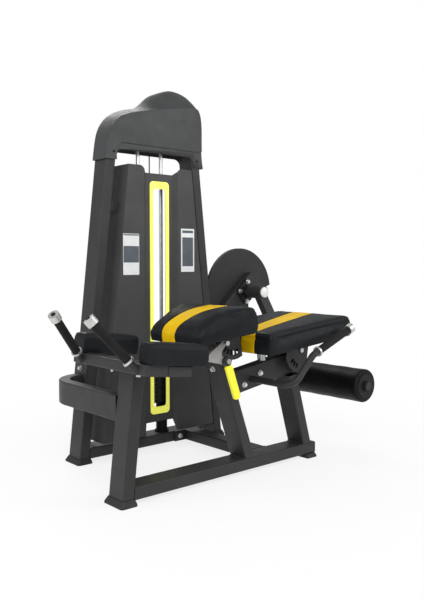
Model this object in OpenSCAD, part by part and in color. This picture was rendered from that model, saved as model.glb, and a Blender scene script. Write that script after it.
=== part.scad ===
// Leg extension machine with a weight stack tower beside a padded bench.
// Millimetres. +X runs from the head end of the bench to the roller end,
// +Y from the bench to the tower, +Z up. The origin lies on the floor
// under the middle of the head leg's foot.

/* [Frame tube] */
// Wide side of the frame tube
tube_wide = 100; // [80:1:110]
// Narrow side of the frame tube
tube_thin = 50; // [40:1:54]
// Wall of the frame tube
tube_wall = 3; // [2:0.5:5]
// Corner radius of the frame tube
tube_round = 6; // [3:0.5:8]

/* [Base] */
// Underside of the base rails above the floor
rail_gap = 18; // [12:1:30]
// Far end of the bench rail from the head leg
rail_end = 1045; // [1030:1:1100]
// Middle of the link tube between bench and tower, along the bench
link_x = 776; // [740:1:800]
// Width of the link tube
link_w = 80; // [60:1:100]
// Height of the plastic foot covers
boot_h = 25; // [22:1:32]
// Plastic under the ends of the legs
boot_floor = 5; // [3:1:8]
// How far a foot cover flares out at the floor
boot_flare = 13; // [8:1:14]

/* [Bench legs] */
// Lean of the head leg and of all it carries
head_lean = 6.3; // [4:0.1:8]
// Length of the head leg
head_len = 506; // [490:1:520]
// Foot of the middle leg on the rail
mid_x = 628; // [610:1:650]
// Lean of the middle leg towards the head
mid_lean = 19.7; // [17:0.1:21]
// Length of the middle leg
mid_len = 478; // [470:1:486]
// Foot of the rear leg on the rail
rear_x = 994; // [980:1:1005]
// Lean of the rear leg towards the head
rear_lean = 16.6; // [15:0.1:19]

/* [Seat beam] */
// Start of the beam's top line, along the bench
beam_x = 573; // [565:1:585]
// Height of the beam's top line at its start
beam_z = 447; // [440:1:452]
// Rise of the beam towards the roller end
beam_rise = 8.9; // [8:0.1:9.4]
// Length of the beam past its start
beam_len = 388; // [380:1:392]

/* [Tower] */
// Middle of the tower along the bench
tower_x = 566; // [540:1:590]
// Middle of the tower from the bench's middle
tower_y = 588; // [560:1:620]
// Half the spread of the uprights at the floor
tower_spread = 401; // [395:1:410]
// Lean of each upright towards the middle
tower_lean = 6.35; // [6:0.05:6.6]
// Length of the uprights
upright_len = 1483; // [1470:1:1484]

/* [Cover] */
// Sheet thickness of the cover
sheet = 3; // [2:0.5:5]
// Gap between cover and uprights
cover_gap = 41; // [30:1:50]
// How far the wings stand in front of the uprights
cover_front = 46; // [40:1:60]
// Depth of the cover's bent side next to the knee pivot
cover_depth = 84; // [60:1:86]
// Depth of the cover's other bent side, which hides the gap to the upright
cover_deep = 116; // [84:1:130]
// Lower edge of the wings
cover_low = 85; // [80:1:120]
// Upper edge of the wings
cover_high = 1350; // [1300:1:1360]
// How far the middle panel sits back
panel_back = 19; // [12:1:22]
// Half the width of the middle panel
panel_half = 79; // [74:1:84]
// Lower edge of the middle panel
panel_low = 140; // [130:1:160]
// Upper edge of the middle panel
panel_high = 1320; // [1300:1:1330]
// Width of the slot
slot_w = 74; // [60:1:84]
// Lower end of the slot
slot_low = 212; // [200:1:230]
// Upper end of the slot
slot_high = 1249; // [1150:1:1265]
// Width of the slot frame's side bars
slot_bar = 18; // [12:1:22]
// Height of the slot frame's end bars
slot_end = 34; // [20:1:40]
// Thickness of the slot frame
slot_t = 5; // [3:0.5:8]

/* [Cap] */
// Lower edge of the cap
cap_low = 1370; // [1365:1:1385]
// Wall of the cap
cap_wall = 3; // [2:0.5:3]
// Room between the cap's walls and the uprights
cap_room = 0.2; // [0.1:0.1:0.6]
// Height of the left shoulder over the cap's lower edge
cap_shoulder = 180; // [176:1:190]
// Further rise of the front edge to the right
cap_sweep = 118; // [100:1:130]
// Height of the rear crest over the front edge
cap_crest = 104; // [60:1:120]
// Top of the arch over the cap's lower edge
arch_h = 50; // [40:1:56]
// Half the width of the arch
arch_half = 226; // [200:1:230]

/* [Weight stack] */
// Distance between the guide rods
rod_gap = 136; // [126:1:150]
// Diameter of the guide rods
rod_d = 18; // [14:0.5:19]
// Height of the buffers under the stack
buffer_h = 157; // [140:1:170]
// Diameter of the buffers
buffer_d = 55; // [45:1:60]
// Thickness of one plate
plate_t = 20; // [18:0.5:22]
// Width of a plate
plate_w = 230; // [200:1:250]
// Depth of a plate
plate_d = 108; // [90:1:112]
// Plates that stay down
plates_down = 8; // [6:1:8]
// Plates that are lifted
plates_up = 4; // [3:1:4]
// Thickness of the head plate
head_plate_t = 36; // [30:1:44]
// Diameter of the selector stem
stem_d = 24; // [20:0.5:26]
// Diameter of the selector pin
pin_d = 9.8; // [8:0.2:12]

/* [Arm] */
// Knee axis along the bench
pivot_x = 1160; // [1150:1:1170]
// Height of the knee axis
pivot_z = 747; // [740:1:756]
// Diameter of the pivot shaft
shaft_d = 35; // [30:0.5:40]
// Slope of the tube that carries the pivot
support_slope = 41.5; // [40:0.5:44]
// Thickness of the tube that carries the pivot
support_t = 40; // [34:1:42]
// How far that tube runs past the pivot
support_tail = 100; // [80:1:110]
// Diameter of the arm's hub
hub_d = 66; // [60:1:72]
// Length of the arm's hub
hub_len = 100; // [90:1:106]
// Rim radius of the cam
cam_r = 231; // [225:1:234]
// Thickness of the cam
cam_t = 16; // [14:0.5:18]
// Roller axis along the bench
roller_x = 1255; // [1235:1:1275]
// Height of the roller axis
roller_z = 322; // [310:1:340]
// Near end of the roller
roller_near = -180; // [-200:1:-170]
// Length of the roller
roller_len = 400; // [380:1:404]
// Diameter of the roller
roller_d = 157; // [130:1:170]
// Diameter of the roller's axle
axle_d = 25; // [20:0.5:30]
// Width of the arm tube along the bench
arm_w = 60; // [50:1:64]
// Thickness of the arm tube across the bench
arm_t = 40; // [34:1:44]

/* [Cable] */
// Diameter of the cable
cable_d = 6; // [4:0.5:7]
// Radius of the cable's path round a pulley
pulley_r = 42; // [40:1:44]
// Thickness of a pulley
pulley_t = 16; // [14:0.5:18]
// Height of the upper pulleys' axles
top_pulley_z = 1500; // [1490:1:1504]
// Upward run of the cable, from the tower's middle
up_run = 194; // [190:1:200]

/* [Pads] */
// Width of the seat and of the back pad's hip end
pad_w = 448; // [400:1:460]
// Length of the seat pad
seat_len = 527; // [500:1:540]
// Thickness of the seat pad
seat_t = 75; // [60:1:85]
// Tilt of the seat pad
seat_rise = 5.6; // [5:0.1:6.5]
// Head end of the seat pad along the bench
seat_x = 572; // [568:1:580]
// Height of the seat pad's underside at its head end
seat_z = 535; // [533:1:540]
// Length of the back pad
back_len = 266; // [250:1:270]
// Thickness of the back pad at its head end
back_t_head = 36; // [30:1:45]
// Thickness of the back pad at its hip end
back_t_hip = 90; // [70:1:95]
// Width of the back pad's head end
back_w_head = 300; // [260:1:340]
// Tilt of the back pad
back_rise = 9.75; // [8:0.25:11]
// Head end of the back pad along the bench
back_x = 257; // [252:1:260]
// Height of the back pad's underside at its head end
back_z = 592; // [588:1:596]
// Thickness of the boards under the pads
board_t = 10; // [8:0.5:10]
// Length of an elbow pad
elbow_len = 248; // [230:1:260]
// Width of an elbow pad
elbow_w = 86; // [76:1:96]
// Thickness of an elbow pad
elbow_t = 72; // [60:1:80]
// Middle of an elbow pad from the bench's middle
elbow_y = 215; // [205:1:225]

/* [Hinges] */
// Back hinge along the bench
back_hinge_x = 488; // [486:1:490]
// Height of the back hinge
back_hinge_z = 610; // [608:1:611]
// Seat hinge along the bench
seat_hinge_x = 929; // [926:1:932]
// Height of the seat hinge
seat_hinge_z = 508; // [506:1:510]
// Rim radius of the slotted plates
sector_r = 102; // [98:1:104]
// Radius of the row of slots
slot_row_r = 72; // [70:1:76]
// Angle from slot to slot
slot_step = 14.5; // [13:0.5:14.5]
// Thickness of the slotted plates
sector_t = 8; // [6:0.5:9]
// Diameter of the hinge pins
hinge_d = 16; // [12:0.5:16]

/* [Handles] */
// Diameter of the handle tubes
bar_d = 28; // [24:0.5:30]
// Diameter of the rubber grips
grip_d = 33; // [31:0.5:36]
// Diameter of the collars and end caps
cap_d = 43; // [39:0.5:46]
// Side handles from the bench's middle
side_y = 270; // [260:1:285]

/* [Fits] */
// Radial clearance of shafts in their bores
run_fit = 0.05; // [0.02:0.01:0.1]
// Gap between pieces that move past each other
air = 0.3; // [0.2:0.05:0.5]

/* [Hidden] */
$fn = 64;
big = 4000;
rail_top = rail_gap + tube_thin;
rail_mid = rail_gap + tube_thin / 2;
tower_front = tower_y - tube_wide / 2;
tower_rear = tower_y + tube_wide / 2;
boot_grip = 4;

// Bench: flange of the link tube on the tower rail
flange_t = 8;
flange_wing = 62;

// Beam, measured from its start along its slope
beam_back = 70;

// Elbow level on the head leg's own axis: a flat crossbar on a bolted plate
bar_back = 112;
bar_half = 240;
bar_high = 40;
bar_plate_y = 106;
bar_plate_x = 60;
elbow_back = 102;
elbow_reach = 104;
elbow_board_t = 4;

// Bent brace between head leg and tower
brace_low = 302;
brace_bend = 172;
brace_x = 13;
brace_flange_h = 190;

// Tower tops
top_plate_t = 6;
top_plate_gap = 20;
rod_block = 40;
rod_block_h = 16;

// Pulley and cam grooves
groove_r = pulley_r - cable_d / 2 - air;
pulley_rim = pulley_r + cable_d / 2 + 2;
pulley_bolt = 12;
top_plate_low = top_pulley_z - pulley_rim - rod_block_h - 3;
top_plate_h = pulley_rim + rod_block_h + 33;
rod_top = top_plate_low + rod_block_h - 2;
cam_path = cam_r - cable_d / 2 - 1;
cam_groove = cam_path - cable_d / 2 - air;
cable_z = pivot_z - cam_path;
low_pulley_x = tower_x + up_run + pulley_r;
low_pulley_z = cable_z + pulley_r;
first_top_x = tower_x + up_run - pulley_r;
second_top_x = tower_x + pulley_r;

// Stack levels from the rail up
stack_low = rail_top + buffer_h;
down_high = stack_low + plates_down * plate_t;
up_low = down_high + air;
up_high = up_low + plates_up * plate_t;
stack_high = up_high + head_plate_t;
pin_z = up_low + plate_t / 2;
eye_h = 26;
plate_front = tower_y - plate_d / 2;
panel_y = tower_front - cover_front + panel_back;
pin_knob_y = panel_y - slot_t - 6;

// Pivot stack along Y, from the tower towards the bench
support_front = tower_y - cam_t / 2 - 4 - support_t;
bearing_t = 12;
bearing_size = 104;
boss_len = 24;
boss_d = 72;
hub_far = support_front - bearing_t - boss_len - 2;
hub_near = hub_far - hub_len;
shaft_tail = 14;
arm_y_top = hub_near + 36;
arm_y_low = roller_near + roller_len + 42;
cam_notch_from = -78;
cam_notch_to = 15;

// Hinges
hip_y = tube_wide / 2;
hip_t = 8;
lug_r = hinge_d / 2 + 3;
sleeve_d = 36;
back_lug_y = 84;
seat_lug_y = 58;
first_slot = 216;
latch_slot = 201.5;
slot_w2 = 14;
slot_l2 = 24;
latch_d = 12;
latch_x = back_hinge_x + slot_row_r * cos(latch_slot);
latch_z = back_hinge_z + slot_row_r * sin(latch_slot);
plunger_x = seat_hinge_x + slot_row_r * cos(first_slot);
plunger_z = seat_hinge_z + slot_row_r * sin(first_slot);
latch_plate_y = back_lug_y + sector_t + 4;
latch_plate_t = 16;
lever_y = latch_plate_y + latch_plate_t + 1;
lever_t = 18;
lever_w = 34;
lever_x = back_hinge_x - 63;
lever_z = back_hinge_z - 99;
lever_len = 150;
lever_tilt = 20;

// Handles: a head handle from its root on the crossbar to its tip
head_root = [-47.1, -187.5, 524];
head_tip = [-205, -121, 715];
head_dir = (head_tip - head_root) / norm(head_tip - head_root);
head_reach = norm(head_tip - head_root);
head_collar = 48.6;
collar_t = 8;
end_cap_len = 28;

// Side handle: out from the beam, up at one slope, then on at a flatter one
side_x = 655;
side_z = 403;
side_slope = 45;
grip_slope = 21.2;
side_bend = 50;
side_bend_2 = 80;
side_run = 166;
side_grip_run = 254;
side_ease = side_bend_2 * tan((side_slope - grip_slope) / 2);

// Frames of the leaning pieces
module in_head() {
  rotate([0, head_lean, 0]) children();
}

module in_mid() {
  translate([mid_x, 0, rail_top]) rotate([0, -mid_lean, 0]) children();
}

module in_rear() {
  translate([rear_x, 0, rail_top]) rotate([0, -rear_lean, 0]) children();
}

module in_beam() {
  translate([beam_x, 0, beam_z]) rotate([0, -beam_rise, 0]) children();
}

module in_seat() {
  translate([seat_x, 0, seat_z]) rotate([0, -seat_rise, 0]) children();
}

module in_back() {
  translate([back_x, 0, back_z]) rotate([0, -back_rise, 0]) children();
}

module in_left() {
  translate([tower_x - tower_spread, tower_y, 0]) rotate([0, tower_lean, 0]) children();
}

module in_support() {
  translate([pivot_x, 0, pivot_z]) rotate([0, -support_slope, 0]) children();
}

// Turns +Z into the direction d and keeps the local x axis near +X
module aim(p, d) {
  translate(p) rotate([atan2(-d[1], d[2]), 0, 0]) rotate([0, asin(d[0]), 0]) children();
}

// Mirror image about the tower's middle
module flip() {
  translate([2 * tower_x, 0, 0]) mirror([1, 0, 0]) children();
}

// Both sides of the bench
module pair() {
  children();
  mirror([0, 1, 0]) children();
}

module below(z) {
  translate([-big / 2, -big / 2, z - big]) cube(big);
}

module above(z) {
  translate([-big / 2, -big / 2, z]) cube(big);
}

// A flat outline in X and Z, drawn out from y0 to y1
module along_y(y0, y1) {
  translate([0, y1, 0]) rotate([90, 0, 0]) linear_extrude(y1 - y0) children();
}

module rod_y(x, z, d, y0, y1) {
  translate([x, y1, z]) rotate([90, 0, 0]) cylinder(d = d, h = y1 - y0);
}

module rounded(a, b, r) {
  square([a - 2 * r, b], center = true);
  square([a, b - 2 * r], center = true);
  for (sx = [-1, 1], sy = [-1, 1])
    translate([sx * (a / 2 - r), sy * (b / 2 - r)]) circle(r);
}

module tube(a, b) {
  difference() {
    rounded(a, b, tube_round);
    square([a - 2 * tube_wall, b - 2 * tube_wall], center = true);
  }
}

module pipe() {
  difference() {
    circle(d = bar_d);
    circle(d = bar_d - 5);
  }
}

// Space taken by the leaning tubes, for cutting what meets them
module head_leg_space() {
  in_head() translate([0, 0, head_len / 2]) cube([tube_thin, tube_wide, head_len], center = true);
}

module crossbar_space() {
  in_head() translate([-bar_back, -bar_half, head_len]) cube([tube_wide, 2 * bar_half, bar_high]);
}

module mid_leg_space() {
  in_mid() translate([-tube_thin / 2, -tube_wide / 2, -60])
    cube([tube_thin, tube_wide, mid_len + 60]);
}

module beam_space() {
  in_beam() translate([-beam_back, -tube_thin / 2, -tube_wide])
    cube([beam_back + beam_len, tube_thin, tube_wide]);
}

module left_space() {
  in_left() translate([-tube_thin / 2, -tube_wide / 2, -20])
    cube([tube_thin, tube_wide, upright_len + 20]);
}

// Everything on the inner side of a line that lies off the upright's middle
module inward(off) {
  in_left() translate([off, -big / 2, -big / 2]) cube(big);
}

module outward(off) {
  in_left() translate([off - big, -big / 2, -big / 2]) cube(big);
}

// Bench frame
module bench_rail() color("dimgray") difference() {
  translate([0, 0, rail_mid]) rotate([0, 90, 0]) linear_extrude(rail_end) tube(tube_thin, tube_wide);
  head_leg_space();
}

module head_leg() color("dimgray") difference() {
  in_head() linear_extrude(head_len - flange_t) tube(tube_thin, tube_wide);
  below(boot_floor);
}

module mid_leg() color("dimgray") difference() {
  in_mid() {
    translate([0, 0, -60]) linear_extrude(mid_len + 60) tube(tube_thin, tube_wide);
    translate([0, 0, mid_len - tube_wall]) linear_extrude(tube_wall) rounded(tube_thin, tube_wide, tube_round);
  }
  below(rail_top);
}

module rear_leg() color("dimgray") difference() {
  in_rear() translate([0, 0, -60]) linear_extrude(438) tube(tube_thin, tube_wide);
  below(rail_top);
  in_beam() translate([-beam_back, -big / 2, -tube_wide]) cube([big, big, big]);
}

module seat_beam() color("dimgray") difference() {
  union() {
    in_beam() {
      translate([-beam_back, 0, -tube_wide / 2]) rotate([0, 90, 0])
        linear_extrude(beam_back + beam_len) tube(tube_wide, tube_thin);
      translate([beam_len - tube_wall, 0, -tube_wide / 2]) rotate([0, 90, 0])
        linear_extrude(tube_wall) rounded(tube_wide, tube_thin, tube_round);
    }
    rod_y(seat_hinge_x, seat_hinge_z, sleeve_d, -seat_lug_y + air, seat_lug_y - air);
    rod_y(plunger_x, plunger_z, latch_d + 10, -seat_lug_y + air, tube_thin / 2 + 15);
  }
  mid_leg_space();
  rod_y(seat_hinge_x, seat_hinge_z, hinge_d + 2 * run_fit, -seat_lug_y - 1, seat_lug_y + 1);
  rod_y(plunger_x, plunger_z, latch_d + 2 * run_fit, -seat_lug_y - 1, seat_lug_y + 1);
}

module head_crossbar() color("dimgray") in_head() {
  translate([tube_wide / 2 - bar_back, bar_half, head_len + bar_high / 2]) rotate([90, 0, 0])
    linear_extrude(2 * bar_half) tube(tube_wide, bar_high);
  for (y = [-bar_half + tube_wall, bar_half])
    translate([tube_wide / 2 - bar_back, y, head_len + bar_high / 2]) rotate([90, 0, 0])
      linear_extrude(tube_wall) rounded(tube_wide, bar_high, tube_round);
}

module elbow_arms() color("dimgray") in_head() pair()
  translate([tube_wide - bar_back, elbow_y, head_len + bar_high / 2]) rotate([0, 90, 0]) {
    linear_extrude(elbow_reach) tube(bar_high, tube_thin);
    translate([0, 0, elbow_reach - tube_wall]) linear_extrude(tube_wall) rounded(bar_high, tube_thin, tube_round);
  }

// Base between bench and tower
module link_tube() color("dimgray")
  translate([link_x, tower_front - flange_t, rail_mid]) rotate([90, 0, 0])
    linear_extrude(tower_front - flange_t - tube_wide / 2) tube(link_w, tube_thin);

module tower_rail() color("dimgray") difference() {
  translate([tower_x - tower_spread, tower_y, rail_mid]) rotate([0, 90, 0])
    linear_extrude(2 * tower_spread) tube(tube_thin, tube_wide);
  left_space();
  flip() left_space();
}

module left_upright() color("dimgray") difference() {
  in_left() linear_extrude(upright_len) tube(tube_thin, tube_wide);
  below(boot_floor);
}

module right_upright() color("dimgray") difference() {
  flip() left_upright();
  translate([tower_x, tower_y - 12, cable_z - 15]) cube([tower_spread, 24, 30]);
}

module brace() color("dimgray") difference() {
  union() {
    translate([brace_x + tube_thin / 2, tower_y + tube_thin / 2 - brace_bend, brace_low + tube_wide / 2])
      rotate([90, 0, 0])
        linear_extrude(tower_y + tube_thin / 2 - brace_bend - tube_wide / 2) tube(tube_thin, tube_wide);
    translate([brace_x + brace_bend, tower_y + tube_thin / 2 - brace_bend, brace_low + tube_wide / 2])
      rotate([0, 0, 90])
        rotate_extrude(angle = 90) translate([brace_bend - tube_thin / 2, 0]) tube(tube_thin, tube_wide);
  }
  inward(-tube_thin / 2 - flange_t);
}

module flange_plates() color("dimgray") {
  translate([link_x - link_w / 2 - flange_wing, tower_front - flange_t, rail_gap])
    cube([link_w + 2 * flange_wing, flange_t, tube_thin]);
  in_left() translate([-tube_thin / 2 - flange_t, -tube_wide / 2, brace_low + tube_wide / 2 - brace_flange_h / 2])
    cube([flange_t, tube_wide, brace_flange_h]);
  in_head() translate([-bar_plate_x, -bar_plate_y, head_len - flange_t])
    cube([bar_plate_x + tube_thin / 2, 2 * bar_plate_y, flange_t]);
}

module boot_shape(lean) {
  hull() {
    linear_extrude(6) rounded(tube_thin + 2 * boot_flare, tube_wide + 2 * boot_flare, 12, $fn = 32);
    translate([boot_h * tan(lean), 0, boot_h - 1])
      linear_extrude(1) rounded(tube_thin + 2 * boot_grip, tube_wide + 2 * boot_grip, 10, $fn = 32);
  }
}

module left_boot() difference() {
  translate([tower_x - tower_spread, tower_y, 0]) boot_shape(tower_lean);
  difference() {
    left_space();
    below(boot_floor);
  }
  translate([tower_x - tower_spread, tower_front, rail_gap]) cube([tower_spread, tube_wide, tube_thin]);
}

module foot_boots() color("black") {
  difference() {
    boot_shape(head_lean);
    difference() {
      head_leg_space();
      below(boot_floor);
    }
    translate([0, -tube_wide / 2, rail_gap]) cube([rail_end, tube_wide, tube_thin]);
  }
  left_boot();
  flip() left_boot();
  translate([rail_end - 28, 0, 0]) hull() {
    linear_extrude(5) rounded(64, tube_wide + 2 * boot_flare, 6, $fn = 32);
    translate([0, 0, rail_gap - 1]) linear_extrude(1) rounded(58, tube_wide + 8, 6, $fn = 32);
  }
  translate([rail_end, 0, rail_mid]) rotate([0, 90, 0]) linear_extrude(4) rounded(tube_thin, tube_wide, tube_round);
}

// Tower cover: two flat wings, a set back middle panel, bent sides
cover_lap = 1;
wing_drop = 16;
module cover_wings() {
  edge = tower_spread - (tube_thin / 2 + cover_gap + cover_lap) / cos(tower_lean);
  inner = tower_x - panel_half - panel_back + cover_lap;
  along_y(tower_front - cover_front, tower_front - cover_front + sheet)
    polygon([[tower_x - edge + cover_low * tan(tower_lean), cover_low], [inner, cover_low],
      [inner, cover_high - wing_drop], [inner - 0.4 * wing_drop, cover_high - 0.45 * wing_drop],
      [inner - 0.9 * wing_drop, cover_high - 0.12 * wing_drop], [inner - 1.5 * wing_drop, cover_high],
      [tower_x - edge + cover_high * tan(tower_lean), cover_high]]);
}

module cover_side(depth) intersection() {
  in_left() translate([tube_thin / 2 + cover_gap, -tube_wide / 2 - cover_front + cover_lap, 0])
    cube([sheet, depth - cover_lap, upright_len]);
  translate([0, 0, cover_low]) cube([big, big, cover_high - cover_low]);
}

module panel_profile() {
  out = panel_half + panel_back;
  polygon([[-out, 0], [-panel_half, panel_back], [panel_half, panel_back], [out, 0],
    [out, sheet], [panel_half, panel_back + sheet], [-panel_half, panel_back + sheet], [-out, sheet]]);
}

module slot_hole(grow) {
  translate([tower_x, (slot_low + slot_high) / 2])
    rounded(slot_w + 2 * grow, slot_high - slot_low + 2 * grow, 14);
}

module front_cover() color("dimgray") {
  cover_wings();
  cover_side(cover_deep);
  flip() {
    cover_wings();
    cover_side(cover_depth);
  }
  difference() {
    translate([tower_x, tower_front - cover_front, cover_low])
      linear_extrude(cover_high - cover_low) panel_profile();
    along_y(0, big) {
      out = panel_half + panel_back - 3;
      translate([tower_x, 0]) polygon([[-out - 10, cover_high - wing_drop + 0.5], [-out, cover_high - wing_drop + 0.5],
        [-panel_half, panel_high], [panel_half, panel_high], [out, cover_high - wing_drop + 0.5],
        [out + 10, cover_high - wing_drop + 0.5], [out + 10, big], [-out - 10, big]]);
      translate([tower_x, 0]) polygon([[-out, cover_low], [-panel_half, panel_low], [panel_half, panel_low],
        [out, cover_low], [out, 0], [-out, 0]]);
      slot_hole(1);
    }
  }
}

module slot_frame() color("yellow") along_y(panel_y - slot_t, panel_y) difference() {
  translate([tower_x, (slot_low + slot_high) / 2])
    rounded(slot_w + 2 * slot_bar, slot_high - slot_low + 2 * slot_end, 18);
  slot_hole(0);
}

module cover_bracket_pair() {
  for (z = [300, 1150])
    in_left() translate([tube_thin / 2, -40, z]) cube([cover_gap, 6, 40]);
}

module cover_brackets() color("dimgray") {
  cover_bracket_pair();
  flip() cover_bracket_pair();
}

// Cap: a hood whose front edge sweeps up to the right and whose rear crest swells over it
function ease(t) = t <= 0 ? 0 : t >= 1 ? 1 : t * t * (3 - 2 * t);
cap_left = tower_x - 282.5;
cap_right = tower_x + 293;
cap_turn = cap_left + 60;
cap_top_right = cap_right - 29;
cap_cols = 26;
cap_rows = 8;
function ridge(t) = cap_low + cap_shoulder + cap_sweep * pow(t, 0.6);
function crest(t) = 14 + 12 * ease(t / 0.2) - 34 * ease((t - 0.79) / 0.27)
  + (cap_crest - 26) * (0.59 * ease((t - 0.35) / 0.17) + 0.41 * ease((t - 0.4) / 0.4));
function left_edge(u) = [cap_left + 24 * u + 36 * pow(u, 5), cap_low + cap_shoulder * u];
function right_edge(u, top) = [cap_right - 12 * sin(180 * pow(u, 0.7)) - 29 * pow(u, 6), cap_low + (top - cap_low) * u];
// One outline, front (s = 0) to rear (s = 1), drawn in by w
function cap_ring(s, w) = concat([[tower_x, cap_low]],
  [for (i = [0 : cap_rows - 1]) let (p = left_edge(i / cap_rows))
    [p[0] + w, p[1] - w * i / cap_rows]],
  [for (i = [0 : cap_cols]) let (t = i / cap_cols, x = cap_turn + (cap_top_right - cap_turn) * t)
    [x + w * (1 - 2 * t), ridge(t) + crest(t) * s - w]],
  [for (i = [cap_rows - 1 : -1 : 0]) let (u = i / cap_rows, p = right_edge(u, ridge(1) + crest(1) * s))
    [p[0] - w, p[1] - w * u]]);

cap_steps = 4;
arch_r = 40;
function cap_skin(w) = let (front = tower_front - cap_room - cap_wall + w,
    rear = tower_rear + cap_room + cap_wall - w)
  [for (k = [0 : cap_steps]) let (s = k / cap_steps)
    for (p = cap_ring(1 - pow(1 - s, 1.4), w)) [p[0], front + (rear - front) * s, p[1]]];

// Each ring starts at the middle of the hood's open foot, so its end faces fan out from there.
module cap_shell() {
  n = 2 * cap_rows + cap_cols + 2;
  m = n * (cap_steps + 1);
  last = n * cap_steps;
  polyhedron(concat(cap_skin(0), cap_skin(cap_wall)), concat(
    [[for (i = [0 : n - 1]) i], [for (i = [n : -1 : 1]) m + i % n]],
    [[for (i = [n : -1 : 1]) last + i % n], [for (i = [0 : n - 1]) m + last + i]],
    [for (k = [0 : n : last - n], i = [1 : n - 2]) each [
      [k + i, k + n + i, k + n + i + 1], [k + i, k + n + i + 1, k + i + 1],
      [m + k + n + i + 1, m + k + n + i, m + k + i], [m + k + i + 1, m + k + n + i + 1, m + k + i]]],
    [for (k = [0 : n : last - n]) each [
      [k + n + 1, k + 1, m + k + 1, m + k + n + 1],
      [k + n - 1, k + 2 * n - 1, m + k + 2 * n - 1, m + k + n - 1]]],
    [[0, n - 1, m + n - 1, m], [1, 0, m, m + 1]],
    [[last + n - 1, last, m + last, m + last + n - 1], [last, last + 1, m + last + 1, m + last]]),
    convexity = 6);
}
module tower_cap() color("dimgray") difference() {
  cap_shell();
  along_y(0, big) translate([tower_x + 4, cap_low]) polygon(concat([[-arch_half, -60], [arch_half, -60]],
    [for (a = [0 : 15 : 90]) [arch_half - arch_r + arch_r * cos(a), arch_h - arch_r + arch_r * sin(a)]],
    [for (a = [90 : -15 : 0]) [arch_r - arch_half - arch_r * cos(a), arch_h - arch_r + arch_r * sin(a)]]));
}

// Tower top, rods and pulleys
module top_plates() color("dimgray") difference() {
  union() {
    for (y = [tower_y - top_plate_gap / 2 - top_plate_t, tower_y + top_plate_gap / 2])
      translate([tower_x - tower_spread, y, top_plate_low]) cube([2 * tower_spread, top_plate_t, top_plate_h]);
    for (x = [tower_x - rod_gap / 2, tower_x + rod_gap / 2])
      translate([x - rod_block / 2, tower_y - top_plate_gap / 2, top_plate_low]) cube([rod_block, top_plate_gap, rod_block_h]);
  }
  outward(tube_thin / 2);
  flip() outward(tube_thin / 2);
  for (x = [tower_x - rod_gap / 2, tower_x + rod_gap / 2])
    translate([x, tower_y, 0]) cylinder(d = rod_d + 2 * run_fit, h = rod_top);
  for (x = [first_top_x, second_top_x])
    rod_y(x, top_pulley_z, pulley_bolt + 2 * run_fit, tower_front, tower_rear);
}

module guide_rods() color("silver")
  for (x = [tower_x - rod_gap / 2, tower_x + rod_gap / 2])
    translate([x, tower_y, rail_top]) cylinder(d = rod_d, h = rod_top - rail_top);

module stack_buffers() color("black")
  for (x = [tower_x - rod_gap / 2, tower_x + rod_gap / 2])
    translate([x, tower_y, rail_top]) difference() {
      union() {
        cylinder(d = buffer_d, h = buffer_h);
        cylinder(d = buffer_d + 14, h = 8);
      }
      translate([0, 0, -1]) cylinder(d = rod_d + 1, h = buffer_h + 2);
    }

module pulley(x, z) {
  translate([x, tower_y, z]) rotate([90, 0, 0]) difference() {
    rotate_extrude() polygon([[pulley_bolt / 2 + run_fit, -pulley_t / 2], [pulley_rim, -pulley_t / 2],
      [pulley_rim, 1 - pulley_t / 2], [groove_r, -cable_d / 2 - air], [groove_r, cable_d / 2 + air],
      [pulley_rim, pulley_t / 2 - 1], [pulley_rim, pulley_t / 2], [pulley_bolt / 2 + run_fit, pulley_t / 2]]);
    for (a = [0 : 72 : 288])
      rotate([0, 0, a]) translate([groove_r * 0.58, 0, -pulley_t]) cylinder(d = 13, h = 2 * pulley_t);
  }
}

module low_pulley() color("black") pulley(low_pulley_x, low_pulley_z);

module first_top_pulley() color("black") pulley(first_top_x, top_pulley_z);

module second_top_pulley() color("black") pulley(second_top_x, top_pulley_z);

module pulley_mounts() color("silver") {
  plate_y = tower_y + top_plate_gap / 2;
  for (x = [first_top_x, second_top_x]) {
    rod_y(x, top_pulley_z, pulley_bolt, plate_y - top_plate_gap - top_plate_t - 6, plate_y + top_plate_t + 6);
    rod_y(x, top_pulley_z, 20, plate_y + top_plate_t, plate_y + top_plate_t + 6);
    rod_y(x, top_pulley_z, 20, plate_y - top_plate_gap - top_plate_t - 6, plate_y - top_plate_gap - top_plate_t);
  }
  difference() {
    translate([low_pulley_x - 24, plate_y, low_pulley_z - 25]) cube([tower_spread, top_plate_t, 50]);
    flip() outward(tube_thin / 2);
  }
  rod_y(low_pulley_x, low_pulley_z, pulley_bolt, tower_y - pulley_t / 2 - 4, plate_y);
  rod_y(low_pulley_x, low_pulley_z, 20, tower_y - pulley_t / 2 - 6, tower_y - pulley_t / 2 - 2);
}

// Cable: cam, low pulley, up, over both top pulleys, down to the stack
module quarter(x, z, from) {
  translate([x, tower_y, z]) rotate([90, 0, 0]) rotate([0, 0, from])
    rotate_extrude(angle = 90) translate([pulley_r, 0]) circle(d = cable_d);
}

module cable() color("black") {
  translate([low_pulley_x, tower_y, cable_z]) rotate([0, 90, 0]) cylinder(d = cable_d, h = pivot_x - low_pulley_x);
  quarter(low_pulley_x, low_pulley_z, 180);
  translate([tower_x + up_run, tower_y, low_pulley_z]) cylinder(d = cable_d, h = top_pulley_z - low_pulley_z);
  quarter(first_top_x, top_pulley_z, 0);
  translate([second_top_x, tower_y, top_pulley_z + pulley_r]) rotate([0, 90, 0])
    cylinder(d = cable_d, h = first_top_x - second_top_x);
  quarter(second_top_x, top_pulley_z, 90);
}

module cable_drop() color("black") translate([tower_x, tower_y, stack_high + eye_h])
  cylinder(d = cable_d, h = top_pulley_z - stack_high - eye_h);

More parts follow.
